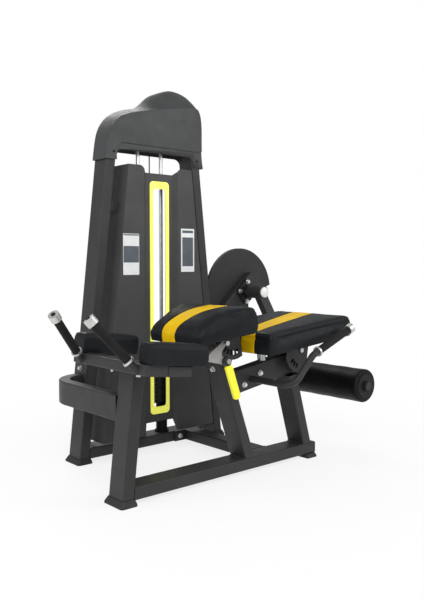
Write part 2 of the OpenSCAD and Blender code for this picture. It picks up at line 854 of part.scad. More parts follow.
// Weight stack
module weight(z, t) difference() {
  translate([tower_x - plate_w / 2, plate_front, z]) cube([plate_w, plate_d, t]);
  for (x = [tower_x - rod_gap / 2, tower_x + rod_gap / 2])
    translate([x, tower_y, z - 1]) cylinder(d = rod_d + 1, h = t + 2);
  children();
}

module stack_plate(z) weight(z, plate_t - 0.6) {
  translate([tower_x, tower_y, z - 1]) cylinder(d = stem_d + 1, h = plate_t + 2);
  rod_y(tower_x, z + plate_t / 2, pin_d + 0.2, plate_front - 1, tower_y);
}

module plates_at_rest() color("dimgray")
  for (i = [0 : plates_down - 1]) stack_plate(stack_low + i * plate_t);

module lifted_plates() color("dimgray")
  for (i = [0 : plates_up - 1]) stack_plate(up_low + i * plate_t);

module head_plate() color("dimgray") {
  weight(up_high, head_plate_t)
    translate([tower_x, tower_y, up_high - 1]) cylinder(d = stem_d + 2 * run_fit, h = head_plate_t - 8);
  translate([tower_x, tower_y, stack_high]) cylinder(d = 22, h = eye_h);
}

module selector_stem() color("silver") difference() {
  translate([tower_x, tower_y, stack_low + 4]) cylinder(d = stem_d, h = up_high - stack_low + head_plate_t - 13);
  for (i = [0 : plates_down - 1])
    rod_y(tower_x, stack_low + (i + 0.5) * plate_t, pin_d + 0.2, tower_front, tower_rear);
  for (i = [0 : plates_up - 1])
    rod_y(tower_x, up_low + (i + 0.5) * plate_t, pin_d + 0.2, tower_front, tower_rear);
}

module selector_pin() color("yellow") translate([tower_x, tower_y, pin_z]) rotate([90, 0, 0])
  rotate_extrude() polygon([[0, -10], [pin_d / 2 - 1.5, -10], [pin_d / 2, -8.5],
    [pin_d / 2, tower_y - pin_knob_y], [13, tower_y - pin_knob_y], [16, tower_y - pin_knob_y + 3],
    [16, tower_y - pin_knob_y + 27], [12, tower_y - pin_knob_y + 32], [0, tower_y - pin_knob_y + 32]]);

// Knee pivot, arm and roller
module pivot_support() color("dimgray") difference() {
  union() {
    in_support() translate([0, support_front + support_t / 2, 0]) {
      translate([-380, 0, 0]) rotate([0, 90, 0]) linear_extrude(380 + support_tail) tube(tube_wide, support_t);
      translate([support_tail - tube_wall, 0, 0]) rotate([0, 90, 0])
        linear_extrude(tube_wall) rounded(tube_wide, support_t, tube_round);
    }
    rod_y(pivot_x, pivot_z, shaft_d + 22, support_front, support_front + support_t);
  }
  flip() inward(-tube_thin / 2);
  rod_y(pivot_x, pivot_z, shaft_d + 2 * run_fit, support_front - 1, support_front + support_t + 1);
}

module flange_bearing() color("black") difference() {
  union() {
    in_support() translate([0, support_front, 0]) rotate([90, 0, 0])
      linear_extrude(bearing_t) rounded(bearing_size, bearing_size, 16);
    rod_y(pivot_x, pivot_z, boss_d, support_front - bearing_t - boss_len, support_front - bearing_t / 2);
  }
  rod_y(pivot_x, pivot_z, shaft_d + 2 * run_fit, support_front - bearing_t - boss_len - 1, support_front + 1);
}

module pivot_shaft() color("silver") {
  rod_y(pivot_x, pivot_z, shaft_d, hub_near, tower_y + cam_t / 2 + shaft_tail);
  rod_y(pivot_x, pivot_z, shaft_d + 17, tower_y + cam_t / 2, tower_y + cam_t / 2 + 8);
}

module arm_hub() color("dimgray") difference() {
  rod_y(pivot_x, pivot_z, hub_d, hub_near, hub_far);
  rod_y(pivot_x, pivot_z, shaft_d + 2 * run_fit, hub_near - 1, hub_far + 1);
}

arm_from = [pivot_x, arm_y_top, pivot_z];
arm_to = [roller_x, arm_y_low, roller_z];
arm_dir = (arm_to - arm_from) / norm(arm_to - arm_from);
arm_run = norm(arm_to - arm_from);

module arm_tube() color("dimgray") difference() {
  aim(arm_from, arm_dir) {
    linear_extrude(arm_run + 10) tube(arm_w, arm_t);
    translate([0, 0, arm_run - 26]) linear_extrude(52) rounded(arm_w, arm_t, tube_round);
  }
  rod_y(pivot_x, pivot_z, hub_d, hub_near - 60, hub_far + 60);
  rod_y(roller_x, roller_z, axle_d + 2 * run_fit, 0, tower_y);
}

module cam() color("dimgray") difference() {
  translate([pivot_x, tower_y, pivot_z]) rotate([90, 0, 0]) rotate_extrude()
    polygon([[shaft_d / 2 + run_fit, -cam_t / 2], [cam_r, -cam_t / 2], [cam_r, -cable_d / 2 - 1],
      [cam_groove, -cable_d / 2 - air], [cam_groove, cable_d / 2 + air], [cam_r, cable_d / 2 + 1],
      [cam_r, cam_t / 2], [shaft_d / 2 + run_fit, cam_t / 2]]);
  along_y(0, big) translate([pivot_x, pivot_z]) cam_notch();
}

module cam_notch() {
  middle = (cam_notch_from + cam_notch_to) / 2;
  far = 2 * cam_r;
  polygon([[70 * cos(middle), 70 * sin(middle)],
    [far * cos(cam_notch_from), far * sin(cam_notch_from)], [far * cos(cam_notch_to), far * sin(cam_notch_to)]]);
}

module shaft_cap() color("white") translate([pivot_x, hub_near, pivot_z]) rotate([90, 0, 0])
  intersection() {
    cylinder(d = hub_d - 12, h = 14);
    translate([0, 0, -36]) sphere(50);
  }

module roller_axle() color("silver") {
  rod_y(roller_x, roller_z, axle_d, roller_near - 12, arm_y_low + arm_t);
  rod_y(roller_x, roller_z, axle_d + 14, roller_near - 18, roller_near - 12);
}

module roller_foam() color("black") translate([roller_x, roller_near, roller_z]) rotate([-90, 0, 0])
  rotate_extrude() difference() {
    union() {
      square([roller_d / 2 - 14, roller_len]);
      translate([0, 14]) square([roller_d / 2, roller_len - 28]);
      for (y = [14, roller_len - 14]) translate([roller_d / 2 - 14, y]) circle(14);
    }
    translate([-big, -1]) square([big + axle_d / 2 + 4, roller_len + 2]);
    for (y = [-1, roller_len - 7]) translate([-1, y]) square([roller_d * 0.36 + 1, 8]);
  }

module roller_caps() color("dimgray")
  for (y = [roller_near - 2, roller_near + roller_len - 7])
    difference() {
      union() {
        rod_y(roller_x, roller_z, roller_d * 0.72 - 0.4, y, y + 9);
        rod_y(roller_x, roller_z, axle_d + 26, y - (y < 0 ? 9 : 0), y + 9 + (y < 0 ? 0 : 6));
      }
      rod_y(roller_x, roller_z, axle_d + 2 * run_fit, y - 20, y + 30);
    }

// Cushions: rings of one outline, drawn in at the foot and the top edge, with a crown
function corner(a, p) = [sign(cos(a)) * pow(abs(cos(a)), 2 / p), sign(sin(a)) * pow(abs(sin(a)), 2 / p)];
ring_n = 48;
pad_square = 13;
// Each ring: inset, share of the height, share of the outline
cushion_rings = [[9, 0, 1], [3, 0.1, 1], [0, 0.3, 1], [0, 0.62, 1], [2, 0.8, 1], [7, 0.93, 1], [15, 1, 1],
  [15, 1, 0.86], [15, 1, 0.62], [15, 1, 0.32]];

module cushion(run, half_head, half_foot, t_head, t_foot, bulge, crown, pull) {
  points = concat(
    [[run / 2, 0, 0]],
    [for (r = cushion_rings, i = [0 : ring_n - 1])
      let (c = corner(360 * i / ring_n, pad_square), x = run / 2 + c[0] * r[2] * (run / 2 - r[0]), u = x / run,
        half = half_head + (half_foot - half_head) * u - r[0] - pull * (1 - c[0] * c[0]) * r[1],
        top = t_head + (t_foot - t_head) * (bulge > 0 ? 1 - pow(max(0, 1 - u / bulge), 2) : u),
        dome = r[2] < 1 ? crown * (1 - pow(c[0] * r[2], 4)) * (1 - pow(c[1] * r[2], 2)) : 0)
      [x, c[1] * r[2] * half, top * r[1] + dome]],
    [[run / 2, 0, t_head + (t_foot - t_head) * (bulge > 0 ? 1 - pow(max(0, 1 - 0.5 / bulge), 2) : 0.5) + crown]]);
  m = len(cushion_rings);
  last = 1 + m * ring_n;
  polyhedron(points, concat(
    [for (i = [0 : ring_n - 1]) [0, 1 + i, 1 + (i + 1) % ring_n]],
    [for (k = [0 : m - 2], i = [0 : ring_n - 1], h = [0, 1])
      let (a = 1 + k * ring_n + i, b = 1 + k * ring_n + (i + 1) % ring_n)
      h == 0 ? [a, a + ring_n, b] : [b, a + ring_n, b + ring_n]],
    [for (i = [0 : ring_n - 1]) [1 + (m - 1) * ring_n + i, last, 1 + (m - 1) * ring_n + (i + 1) % ring_n]]));
}

module seat_pad() color("black") in_seat() cushion(seat_len, pad_w / 2, pad_w / 2, seat_t, seat_t, 0, 6, 4);

module back_pad() color("black") in_back()
  cushion(back_len, back_w_head / 2, pad_w / 2, back_t_head, back_t_hip, 0.75, 5, 3);

module elbow_pads() color("black") in_head() pair()
  translate([-elbow_back, elbow_y, head_len + bar_high + elbow_board_t])
    cushion(elbow_len, elbow_w / 2, elbow_w / 2, elbow_t - 4, elbow_t - 4, 0, 4, 2);

module elbow_boards() color("dimgray") in_head() pair()
  translate([12 - elbow_back, elbow_y - elbow_w / 2 + 10, head_len + bar_high])
    cube([elbow_len - 24, elbow_w - 20, elbow_board_t]);

// Slotted plates, drawn in X and Z about their hinge
module slots(x, z, first, n) {
  for (i = [0 : n - 1])
    translate([x, z]) rotate(first + i * slot_step) translate([slot_row_r, 0])
      rounded(slot_l2, slot_w2, 6);
}

module back_sector() difference() {
  intersection() {
    translate([back_hinge_x, back_hinge_z]) circle(sector_r);
    translate([back_hinge_x, back_hinge_z]) polygon([[-sector_r, -14], [-sector_r, -sector_r], [72, -sector_r],
      [72, -52], [30, 14], [-10, 14]]);
    back_underside();
  }
  slots(back_hinge_x, back_hinge_z, latch_slot, 7);
}

// All that lies under the board of the back pad
module back_underside() {
  translate([back_x, back_z]) rotate(back_rise) translate([0, -board_t - 400]) square([back_len, 400]);
}

module seat_underside() {
  translate([seat_x, seat_z]) rotate(seat_rise) translate([0, -board_t - 400]) square([seat_len, 400]);
}

module back_frame() color("dimgray") difference() {
  union() {
    in_back() translate([0, 0, -board_t]) linear_extrude(board_t)
      polygon([[10, 14 - back_w_head / 2], [back_len - 8, 16 - pad_w / 2],
        [back_len - 8, pad_w / 2 - 16], [10, back_w_head / 2 - 14]]);
    along_y(-back_lug_y - sector_t, -back_lug_y) back_sector();
    along_y(back_lug_y, back_lug_y + sector_t) intersection() {
      translate([back_hinge_x, back_hinge_z]) {
        circle(lug_r + 8);
        translate([-60, -4]) square([90, 60]);
      }
      back_underside();
    }
  }
  rod_y(back_hinge_x, back_hinge_z, hinge_d + 2 * run_fit, -tower_y, tower_y);
}

module seat_frame() color("dimgray") difference() {
  union() {
    in_seat() translate([14, 20 - pad_w / 2, -board_t]) cube([seat_len - 44, pad_w - 40, board_t]);
    along_y(-seat_lug_y - sector_t, -seat_lug_y) difference() {
      intersection() {
        union() {
          translate([seat_hinge_x, seat_hinge_z]) circle(sector_r);
          translate([seat_hinge_x - 90, seat_hinge_z]) square([180, 90]);
        }
        translate([seat_hinge_x, seat_hinge_z]) polygon([[-sector_r, -30], [-sector_r, -sector_r], [40, -sector_r],
          [40, -40], [60, 90], [-60, 90]]);
        seat_underside();
      }
      slots(seat_hinge_x, seat_hinge_z, first_slot, 3);
    }
    along_y(seat_lug_y, seat_lug_y + sector_t) intersection() {
      translate([seat_hinge_x, seat_hinge_z]) {
        circle(sleeve_d / 2 + 6);
        translate([-40, 0]) square([80, 90]);
      }
      seat_underside();
    }
  }
  rod_y(seat_hinge_x, seat_hinge_z, hinge_d + 2 * run_fit, -tower_y, tower_y);
}

module hip_bracket() color("dimgray") difference() {
  union() {
    pair() along_y(hip_y, hip_y + hip_t) translate([back_hinge_x, back_hinge_z]) {
      circle(lug_r);
      polygon([[-lug_r, -2], [-76, -83], [-76, -117], [14, -140], [24, -110], [lug_r, -3]]);
    }
    rod_y(back_hinge_x, back_hinge_z, 2 * lug_r, -back_lug_y + air, back_lug_y - air);
  }
  rod_y(back_hinge_x, back_hinge_z, hinge_d + 2 * run_fit, -back_lug_y - 1, back_lug_y + 1);
}

module hinge_pin(x, z, y) {
  rod_y(x, z, hinge_d, -y - 6, y + 6);
  for (s = [-y - 6, y + air]) rod_y(x, z, hinge_d + 5.5, s, s + 6 - air);
}

module hinge_pins() color("silver") {
  hinge_pin(back_hinge_x, back_hinge_z, back_lug_y + sector_t);
  hinge_pin(seat_hinge_x, seat_hinge_z, seat_lug_y + sector_t);
}

module latch_bracket() color("silver") {
  rod_y(lever_x, lever_z, 18, -latch_plate_y, -hip_y - hip_t);
  difference() {
    along_y(-latch_plate_y - latch_plate_t, -latch_plate_y) {
      translate([lever_x, lever_z]) circle(17);
      translate([latch_x, latch_z]) circle(13);
      polygon([[latch_x - 12, latch_z + 3], [latch_x + 11, latch_z - 6], [latch_x - 14, latch_z - 34],
        [lever_x - 16, lever_z + 18], [lever_x + 14, lever_z + 9], [lever_x - 9, lever_z - 14],
        [lever_x - 85, lever_z + 4], [lever_x - 85, lever_z + 30], [lever_x - 60, lever_z + 50]]);
    }
    rod_y(latch_x, latch_z, latch_d + 2 * run_fit, -tower_y, 0);
  }
  rod_y(lever_x, lever_z, latch_d, -lever_y - lever_t - 1, -latch_plate_y - latch_plate_t);
  rod_y(lever_x, lever_z, latch_d + 8, -lever_y - lever_t - 6, -lever_y - lever_t - 1);
}

module release_lever() color("yellow") difference() {
  along_y(-lever_y - lever_t, -lever_y) translate([lever_x, lever_z]) rotate(lever_tilt) {
    circle(d = lever_w + 6);
    translate([-lever_w / 2, -lever_len]) square([lever_w, lever_len]);
    translate([0, -lever_len]) circle(d = lever_w);
  }
  rod_y(lever_x, lever_z, latch_d + 2 * run_fit, -tower_y, 0);
}

// Both latches are drawn back by a hair, so that the pads are free to turn
module latch_pin() color("silver") {
  rod_y(latch_x, latch_z, latch_d, -lever_y - 12, -back_lug_y - sector_t - 0.5);
  rod_y(latch_x, latch_z, latch_d + 8, -lever_y - 20, -lever_y - 12);
}

module seat_plunger() color("black") {
  knob_y = tube_thin / 2 + 26;
  rod_y(plunger_x, plunger_z, latch_d, -seat_lug_y + 0.5, knob_y);
  rod_y(plunger_x, plunger_z, latch_d + 18, knob_y, knob_y + 26);
}

module seat_stop() color("silver") difference() {
  in_seat() translate([165, 0, -board_t - air - 90]) cylinder(d = 38, h = 90);
  beam_space();
  in_beam() translate([-beam_back, -tube_thin / 2, -big]) cube([big, tube_thin, big]);
}

// Handles
module head_handle_bars() color("silver") difference() {
  pair() aim(head_root, head_dir) linear_extrude(head_reach - 8) pipe();
  crossbar_space();
}

module in_side() {
  translate([side_x, -side_y, side_z]) rotate([0, -side_slope, 0]) children();
}

// The flatter run of a side handle, from the end of the second bend
side_turn = [side_x + (side_run - side_ease) * cos(side_slope) + side_bend_2 * sin(side_slope), -side_y,
  side_z + (side_run - side_ease) * sin(side_slope) - side_bend_2 * cos(side_slope)];

module in_side_grip() {
  translate(side_turn) rotate([0, -grip_slope, 0]) translate([0, 0, side_bend_2]) rotate([0, 90, 0]) children();
}

// The whole run of a side handle; the straight runs sit a little way inside the bends
module side_path() {
  lap = 3;
  bend_d = bar_d + 0.6;
  translate([side_x, -tube_thin / 2, side_z]) rotate([90, 0, 0])
    cylinder(d = bar_d, h = side_y - tube_thin / 2 - side_bend + lap);
  in_side() {
    translate([side_bend, side_bend, 0]) rotate([0, 0, 180])
      rotate_extrude(angle = 90) translate([side_bend, 0]) circle(d = bend_d);
    translate([side_bend - lap, 0, 0]) rotate([0, 90, 0])
      cylinder(d = bar_d, h = side_run - side_ease - side_bend + 2 * lap);
  }
  translate(side_turn) rotate([90, 0, 0]) rotate([0, 0, 90 + grip_slope])
    rotate_extrude(angle = side_slope - grip_slope) translate([side_bend_2, 0]) circle(d = bend_d);
  in_side_grip() translate([0, 0, -lap]) cylinder(d = bar_d, h = side_grip_run - 8 + lap);
}

module side_handles() color("silver") pair() side_path();

module grip(from, to) difference() {
  translate([0, 0, from]) cylinder(d = grip_d, h = to - from);
  translate([0, 0, from - 1]) cylinder(d = bar_d + 2 * run_fit, h = to - from + 2);
}

module grips() color("black") pair() {
  aim(head_root, head_dir) grip(head_collar + collar_t, head_reach - end_cap_len);
  in_side_grip() grip(12 + collar_t, side_grip_run - end_cap_len);
}

module grip_end(collar, tip) {
  difference() {
    translate([0, 0, collar]) cylinder(d = cap_d, h = collar_t);
    translate([0, 0, collar - 1]) cylinder(d = bar_d + 2 * run_fit, h = collar_t + 2);
  }
  difference() {
    translate([0, 0, tip - end_cap_len]) cylinder(d = cap_d, h = end_cap_len);
    translate([0, 0, tip - end_cap_len - 1]) cylinder(d = bar_d + 2 * run_fit, h = end_cap_len - 7);
    translate([0, 0, tip - 3]) cylinder(d = 14, h = 4);
  }
}

module grip_ends() color("white") pair() {
  aim(head_root, head_dir) grip_end(head_collar, head_reach);
  in_side_grip() grip_end(12, side_grip_run);
}

// Bolt heads on the flanges and plates
module bolt_head() {
  cylinder(d = 24, h = 2);
  translate([0, 0, 2]) cylinder(d = 19, h = 9, $fn = 6);
}

module frame_bolts() color("silver") {
  for (s = [-1, 1])
    translate([link_x + s * (link_w / 2 + flange_wing / 2), tower_front - flange_t, rail_mid])
      rotate([90, 0, 0]) bolt_head();
  for (s = [-1, 1])
    in_left() translate([-tube_thin / 2 - flange_t, 0, brace_low + tube_wide / 2 + s * (brace_flange_h / 2 - 22)])
      rotate([0, -90, 0]) bolt_head();
  for (sx = [-1, 1], sz = [-1, 1])
    in_support() translate([sx * 37, support_front - bearing_t, sz * 37]) rotate([90, 0, 0]) bolt_head();
  in_mid() translate([-tube_thin / 2, 0, 428]) rotate([0, -90, 0]) bolt_head();
  for (s = [-1, 1])
    in_head() translate([-bar_plate_x / 2, s * (bar_plate_y - 22), head_len - flange_t]) rotate([180, 0, 0]) bolt_head();
  for (p = [[30, -70], [130, -45]])
    in_beam() translate([p[0], -tube_thin / 2, p[1]]) rotate([90, 0, 0]) bolt_head();
}

// Draw the chosen piece, or all of them
bench_rail();
head_leg();
mid_leg();
rear_leg();
seat_beam();
head_crossbar();
elbow_arms();
link_tube();
tower_rail();
left_upright();
right_upright();
top_plates();
brace();
flange_plates();
pivot_support();
flange_bearing();
foot_boots();
front_cover();
slot_frame();
cover_brackets();
tower_cap();
guide_rods();
stack_buffers();
plates_at_rest();
elbow_boards();
elbow_pads();
head_handle_bars();
side_handles();
grips();
grip_ends();
frame_bolts();
pulley_mounts();
cable();
cable_drop();
hip_bracket();
hinge_pins();
latch_bracket();
seat_stop();
pivot_shaft();
arm_hub();
arm_tube();
cam();
shaft_cap();
roller_axle();
roller_foam();
roller_caps();
head_plate();
lifted_plates();
selector_stem();
selector_pin();
back_pad();
back_frame();
release_lever();
latch_pin();
seat_pad();
seat_frame();
seat_plunger();
low_pulley();
first_top_pulley();
second_top_pulley();
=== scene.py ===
"""Dresses the leg extension machine: finishes for the frame, sewn pads, trim and a plain studio."""

import math

import bmesh
import bpy
from mathutils import Matrix, Vector
from mathutils.bvhtree import BVHTree


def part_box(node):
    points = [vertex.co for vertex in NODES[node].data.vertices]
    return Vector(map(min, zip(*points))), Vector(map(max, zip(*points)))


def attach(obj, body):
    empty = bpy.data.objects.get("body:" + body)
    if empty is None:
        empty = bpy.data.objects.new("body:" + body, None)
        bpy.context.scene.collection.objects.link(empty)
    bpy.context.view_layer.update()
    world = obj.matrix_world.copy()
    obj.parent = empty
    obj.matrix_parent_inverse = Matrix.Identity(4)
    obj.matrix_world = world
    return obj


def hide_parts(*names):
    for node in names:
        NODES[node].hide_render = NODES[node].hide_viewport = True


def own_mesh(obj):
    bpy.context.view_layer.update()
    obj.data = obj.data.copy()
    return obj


bl_info = {
    "name": "Leg Extension Machine",
    "version": (1, 0, 0),
    "blender": (4, 5, 0),
    "location": "3D View > Sidebar > Machine",
    "description": "Finishes, pads and trim for a leg extension machine with a weight tower",
    "category": "Object",
}

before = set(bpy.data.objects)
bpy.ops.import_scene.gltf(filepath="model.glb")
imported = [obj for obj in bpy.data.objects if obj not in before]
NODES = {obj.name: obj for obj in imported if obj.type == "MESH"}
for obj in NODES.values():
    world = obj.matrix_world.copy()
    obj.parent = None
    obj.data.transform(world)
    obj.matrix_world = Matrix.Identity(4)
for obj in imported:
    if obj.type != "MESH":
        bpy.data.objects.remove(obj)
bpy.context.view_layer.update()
UP = Vector((0.0, 0.0, 1.0))

# Edges of the gold panels in plan: a point x, then y there and the slope, for the near and the far edge.
SEAT_STRIPE = (0.565, (-0.127, 0.2252), (-0.050, 0.3073))
BACK_STRIPE = (0.259, (-0.012, -0.398), (0.072, -0.293))
# Where the stitches beside a panel begin and end along X.
SEAT_SPAN = (0.53, 1.09)
BACK_SPAN = (0.24, 0.53)
# How far the leather reaches down over a board's edge, on the large pads and on the elbow pads.
PAD_WRAP, ELBOW_WRAP = 0.007, 0.003
# What the facing ends of seat and back stay back, so that they fold past each other.
PAD_ROOM = 0.007

# The release lever's hub in X and Z, and how the lever leans.
LEVER_HUB, LEVER_LEAN = (0.425, 0.511), math.radians(-20)
# The hood's front and rear in Y, the height of its foot, and the rounding of its opening's corners.
HOOD_FRONT, HOOD_REAR, HOOD_FOOT, ARCH_ROUND = 0.5348, 0.6412, 1.370, 0.040

# Bare plates: name, range in X, range in Z, and slate panels as shares of the width and of the height.
PLATES = (
    ("plate_left", (0.348, 0.436), (0.846, 1.034), ((0.02, 0.98, 0.30, 0.70), (0.02, 0.98, 0.955, 0.985))),
    ("plate_right", (0.683, 0.765), (0.857, 1.066), ((0.09, 0.91, 0.13, 0.80), (0.09, 0.91, 0.90, 0.96))))
# The Y of the cover's front, which the plates lie on.
COVER_FACE = 0.492
# Half section of a screw's head: along its axis and out from it.
SCREW_HEAD = ((0.0010, 0.0), (0.0010, 0.0024), (-0.0008, 0.0026), (-0.0006, 0.0044), (0.0012, 0.0060),
              (0.0040, 0.0062))
# Ends of the near grips and the way that they point.
GRIP_ENDS = (("head", (-0.205, -0.121, 0.715), (-0.615, 0.259, 0.744)),
             ("side", (1.0249, -0.270, 0.6183), (0.9323, 0.0, 0.3616)))
# Lamps: name, place, width in metres and power in watts.
LAMPS = (("key", (-1.6, -2.9, 3.1), 2.2, 95.0), ("side", (-3.2, 0.9, 2.2), 2.4, 45.0),
         ("fill", (2.6, -2.6, 2.4), 2.6, 45.0), ("back", (1.6, 3.4, 3.2), 2.4, 62.0))


def linear(code):
    """Linear RGBA of an sRGB hex colour."""
    parts = [int(code[i:i + 2], 16) / 255 for i in (1, 3, 5)]
    return tuple(c / 12.92 if c <= 0.04045 else ((c + 0.055) / 1.055) ** 2.4 for c in parts) + (1.0,)


def per_mm(size):
    """Scale of a noise or cell pattern whose features are that many millimetres across."""
    return 1000.0 / size


def add(tree, kind, inputs=None, **settings):
    """Adds a node with its settings; an input is a value or a socket to link from."""
    node = tree.nodes.new(kind)
    for key, value in settings.items():
        setattr(node, key, value)
    for key, value in (inputs or {}).items():
        if isinstance(value, bpy.types.NodeSocket):
            tree.links.new(value, node.inputs[key])
        else:
            node.inputs[key].default_value = value
    return node


def start(name, **values):
    """A new material with its surface shader and the piece's own coordinates."""
    material = bpy.data.materials.new(name)
    material.use_nodes = True
    tree = material.node_tree
    tree.nodes.clear()
    surface = add(tree, "ShaderNodeBsdfPrincipled", values)
    add(tree, "ShaderNodeOutputMaterial", {"Surface": surface.outputs["BSDF"]})
    place = add(tree, "ShaderNodeTexCoord").outputs["Object"]
    return material, tree, surface, place


def noise(tree, place, size, detail, rough=0.5):
    """Noise in patches of that many millimetres."""
    return add(tree, "ShaderNodeTexNoise", {"Vector": place, "Scale": per_mm(size), "Detail": detail,
                                            "Roughness": rough}).outputs["Fac"]


def calc(tree, operation, *values, kind="ShaderNodeMath"):
    """Result of a sum over values or sockets."""
    return add(tree, kind, dict(enumerate(values)), operation=operation).outputs["Value"]


def ranged(tree, value, begin, end, low, high, **settings):
    """A value between begin and end carried over to low and high."""
    return add(tree, "ShaderNodeMapRange", {"Value": value, "From Min": begin, "From Max": end, "To Min": low,
                                            "To Max": high}, **settings).outputs["Result"]


def blend(tree, amount, first, second):
    """Two colours mixed; the mix node's colour sockets are inputs 6 and 7 and output 2."""
    return add(tree, "ShaderNodeMix", {0: amount, 6: first, 7: second}, data_type="RGBA").outputs[2]


def mottled(tree, place, size, low, high):
    """Cloudy variation between two colours, in patches of that many millimetres."""
    ramp = add(tree, "ShaderNodeValToRGB", {"Fac": noise(tree, place, size, 4.0, 0.6)})
    for element, position, colour in zip(ramp.color_ramp.elements, (0.3, 0.72), (low, high)):
        element.position = position
        element.color = linear(colour)
    return ramp.outputs["Color"]


def uneven(tree, surface, place, size, low, high):
    """Roughness that drifts between two values in patches of that many millimetres."""
    drift = ranged(tree, noise(tree, place, size, 3.0), 0.3, 0.7, low, high)
    tree.links.new(drift, surface.inputs["Roughness"])


def bumped(tree, surface, height, depth, strength, **more):
    """Bump of that depth in millimetres."""
    bump = add(tree, "ShaderNodeBump", {"Height": height, "Strength": strength, "Distance": depth / 1000,
                                        **more})
    tree.links.new(bump.outputs["Normal"], surface.inputs["Normal"])


def relief(tree, surface, height, depth, strength, rounding):
    """Bump of that depth in millimetres, over edges that are rounded by that many millimetres."""
    edge = add(tree, "ShaderNodeBevel", {"Radius": rounding / 1000}, samples=4).outputs["Normal"]
    bumped(tree, surface, height, depth, strength, Normal=edge)
    return edge


def rubbed(tree, place, colour, edge, worn):
    """The colour given, thinned to the worn one in broken patches along rounded edges."""
    face = add(tree, "ShaderNodeNewGeometry").outputs["Normal"]
    turn = calc(tree, "DOT_PRODUCT", edge, face, kind="ShaderNodeVectorMath")
    rim = ranged(tree, turn, 0.99, 0.85, 0.0, 1.0)
    broken = ranged(tree, noise(tree, place, 14, 5.0), 0.45, 0.7, 0.0, 0.6)
    return blend(tree, calc(tree, "MULTIPLY", rim, broken), colour, linear(worn))


def powder_coat(name, low, high):
    # Polyester powder coat on welded steel: satin charcoal, with the faint orange peel of a sprayed and
    # baked skin. Real peel is about 1 mm wide and is drawn 3 mm so that it shows.
    material, tree, surface, place = start(name, **{"Specular IOR Level": 0.25})
    edge = relief(tree, surface, noise(tree, place, 3, 2.0), 0.5, 0.16, 1.6)
    colour = mottled(tree, place, 180, low, high)
    tree.links.new(rubbed(tree, place, colour, edge, "#5f6061"), surface.inputs["Base Color"])
    uneven(tree, surface, place, 60, 0.40, 0.50)
    return material


def moulded_abs(name, low, high, grit, gloss, shine=0.3, painted_glow=0.0):
    # Injection moulded ABS: even colour and the fine spark grain of the mould, which scatters highlights.
    # Real grain is about 0.3 mm and is drawn as coarse as the grit given so that it shows. The glow is
    # painted light: emission that keeps the moulding bright where it would lie in shade.
    material, tree, surface, place = start(name, **{
        "IOR": 1.53, "Specular IOR Level": shine, "Emission Color": linear(high), "Emission Strength": painted_glow})
    cells = add(tree, "ShaderNodeTexVoronoi", {"Vector": place, "Scale": per_mm(grit)})
    relief(tree, surface, cells.outputs["Distance"], 0.3, 0.14, 1.4)
    tree.links.new(mottled(tree, place, 90, low, high), surface.inputs["Base Color"])
    uneven(tree, surface, place, 40, gloss, gloss + 0.09)
    return material


def cast_iron(name, low, high):
    # Painted cast iron: the sand mould leaves a lumpy skin, in pits of about 5 mm, under a satin paint.
    material, tree, surface, place = start(name, **{"Specular IOR Level": 0.3})
    edge = relief(tree, surface, noise(tree, place, 5, 6.0, 0.7), 0.8, 0.25, 1.2)
    colour = mottled(tree, place, 45, low, high)
    tree.links.new(rubbed(tree, place, colour, edge, "#6b6c6d"), surface.inputs["Base Color"])
    uneven(tree, surface, place, 20, 0.42, 0.56)
    return material


def plated_steel(name, low, high, gloss):
    # Plated steel or satin aluminium: bright and a little cloudy, with softly turned edges.
    material, tree, surface, place = start(name, Metallic=1.0)
    edge = add(tree, "ShaderNodeBevel", {"Radius": 0.0007}, samples=4)
    tree.links.new(edge.outputs["Normal"], surface.inputs["Normal"])
    tree.links.new(mottled(tree, place, 25, low, high), surface.inputs["Base Color"])
    uneven(tree, surface, place, 12, gloss, gloss + 0.12)
    return material


def rubber(name, low, high, grit, gloss):
    # Rubber, skinned foam or thread: near black, soft highlights and a fine dusty grain.
    material, tree, surface, place = start(name, **{"IOR": 1.52, "Specular IOR Level": 0.14})
    relief(tree, surface, noise(tree, place, grit, 4.0, 0.65), 0.5, 0.2, 1.5)
    tree.links.new(mottled(tree, place, 60, low, high), surface.inputs["Base Color"])
    uneven(tree, surface, place, 30, gloss, gloss + 0.12)
    return material


def sewn_leather(name, low, high, stripe=None, gold=None):
    # Polyurethane leather: an embossed pebble grain, about 1 mm across in life and drawn 2.4 mm so that it
    # shows, with soft creases and a sheen that breaks up over the grain.
    material, tree, surface, place = start(name, **{"IOR": 1.48, "Specular IOR Level": 0.16})
    pebble = add(tree, "ShaderNodeTexVoronoi", {"Vector": place, "Scale": per_mm(2.4)}, feature="SMOOTH_F1")
    skin = calc(tree, "ADD", pebble.outputs["Distance"], noise(tree, place, 30, 5.0))
    bumped(tree, surface, skin, 0.6, 0.22)
    colour = mottled(tree, place, 70, low, high)
    if stripe:
        x0, near, far = stripe
        spot = add(tree, "ShaderNodeSeparateXYZ", {0: place}).outputs
        sides = []
        for (y0, slope), way in ((near, "GREATER_THAN"), (far, "LESS_THAN")):
            line = calc(tree, "MULTIPLY_ADD", spot["X"], slope, y0 - slope * x0)
            sides.append(calc(tree, way, spot["Y"], line))
        colour = blend(tree, calc(tree, "MULTIPLY", *sides), colour, mottled(tree, place, 70, *gold))
    tree.links.new(colour, surface.inputs["Base Color"])
    uneven(tree, surface, place, 35, 0.42, 0.56)
    return material


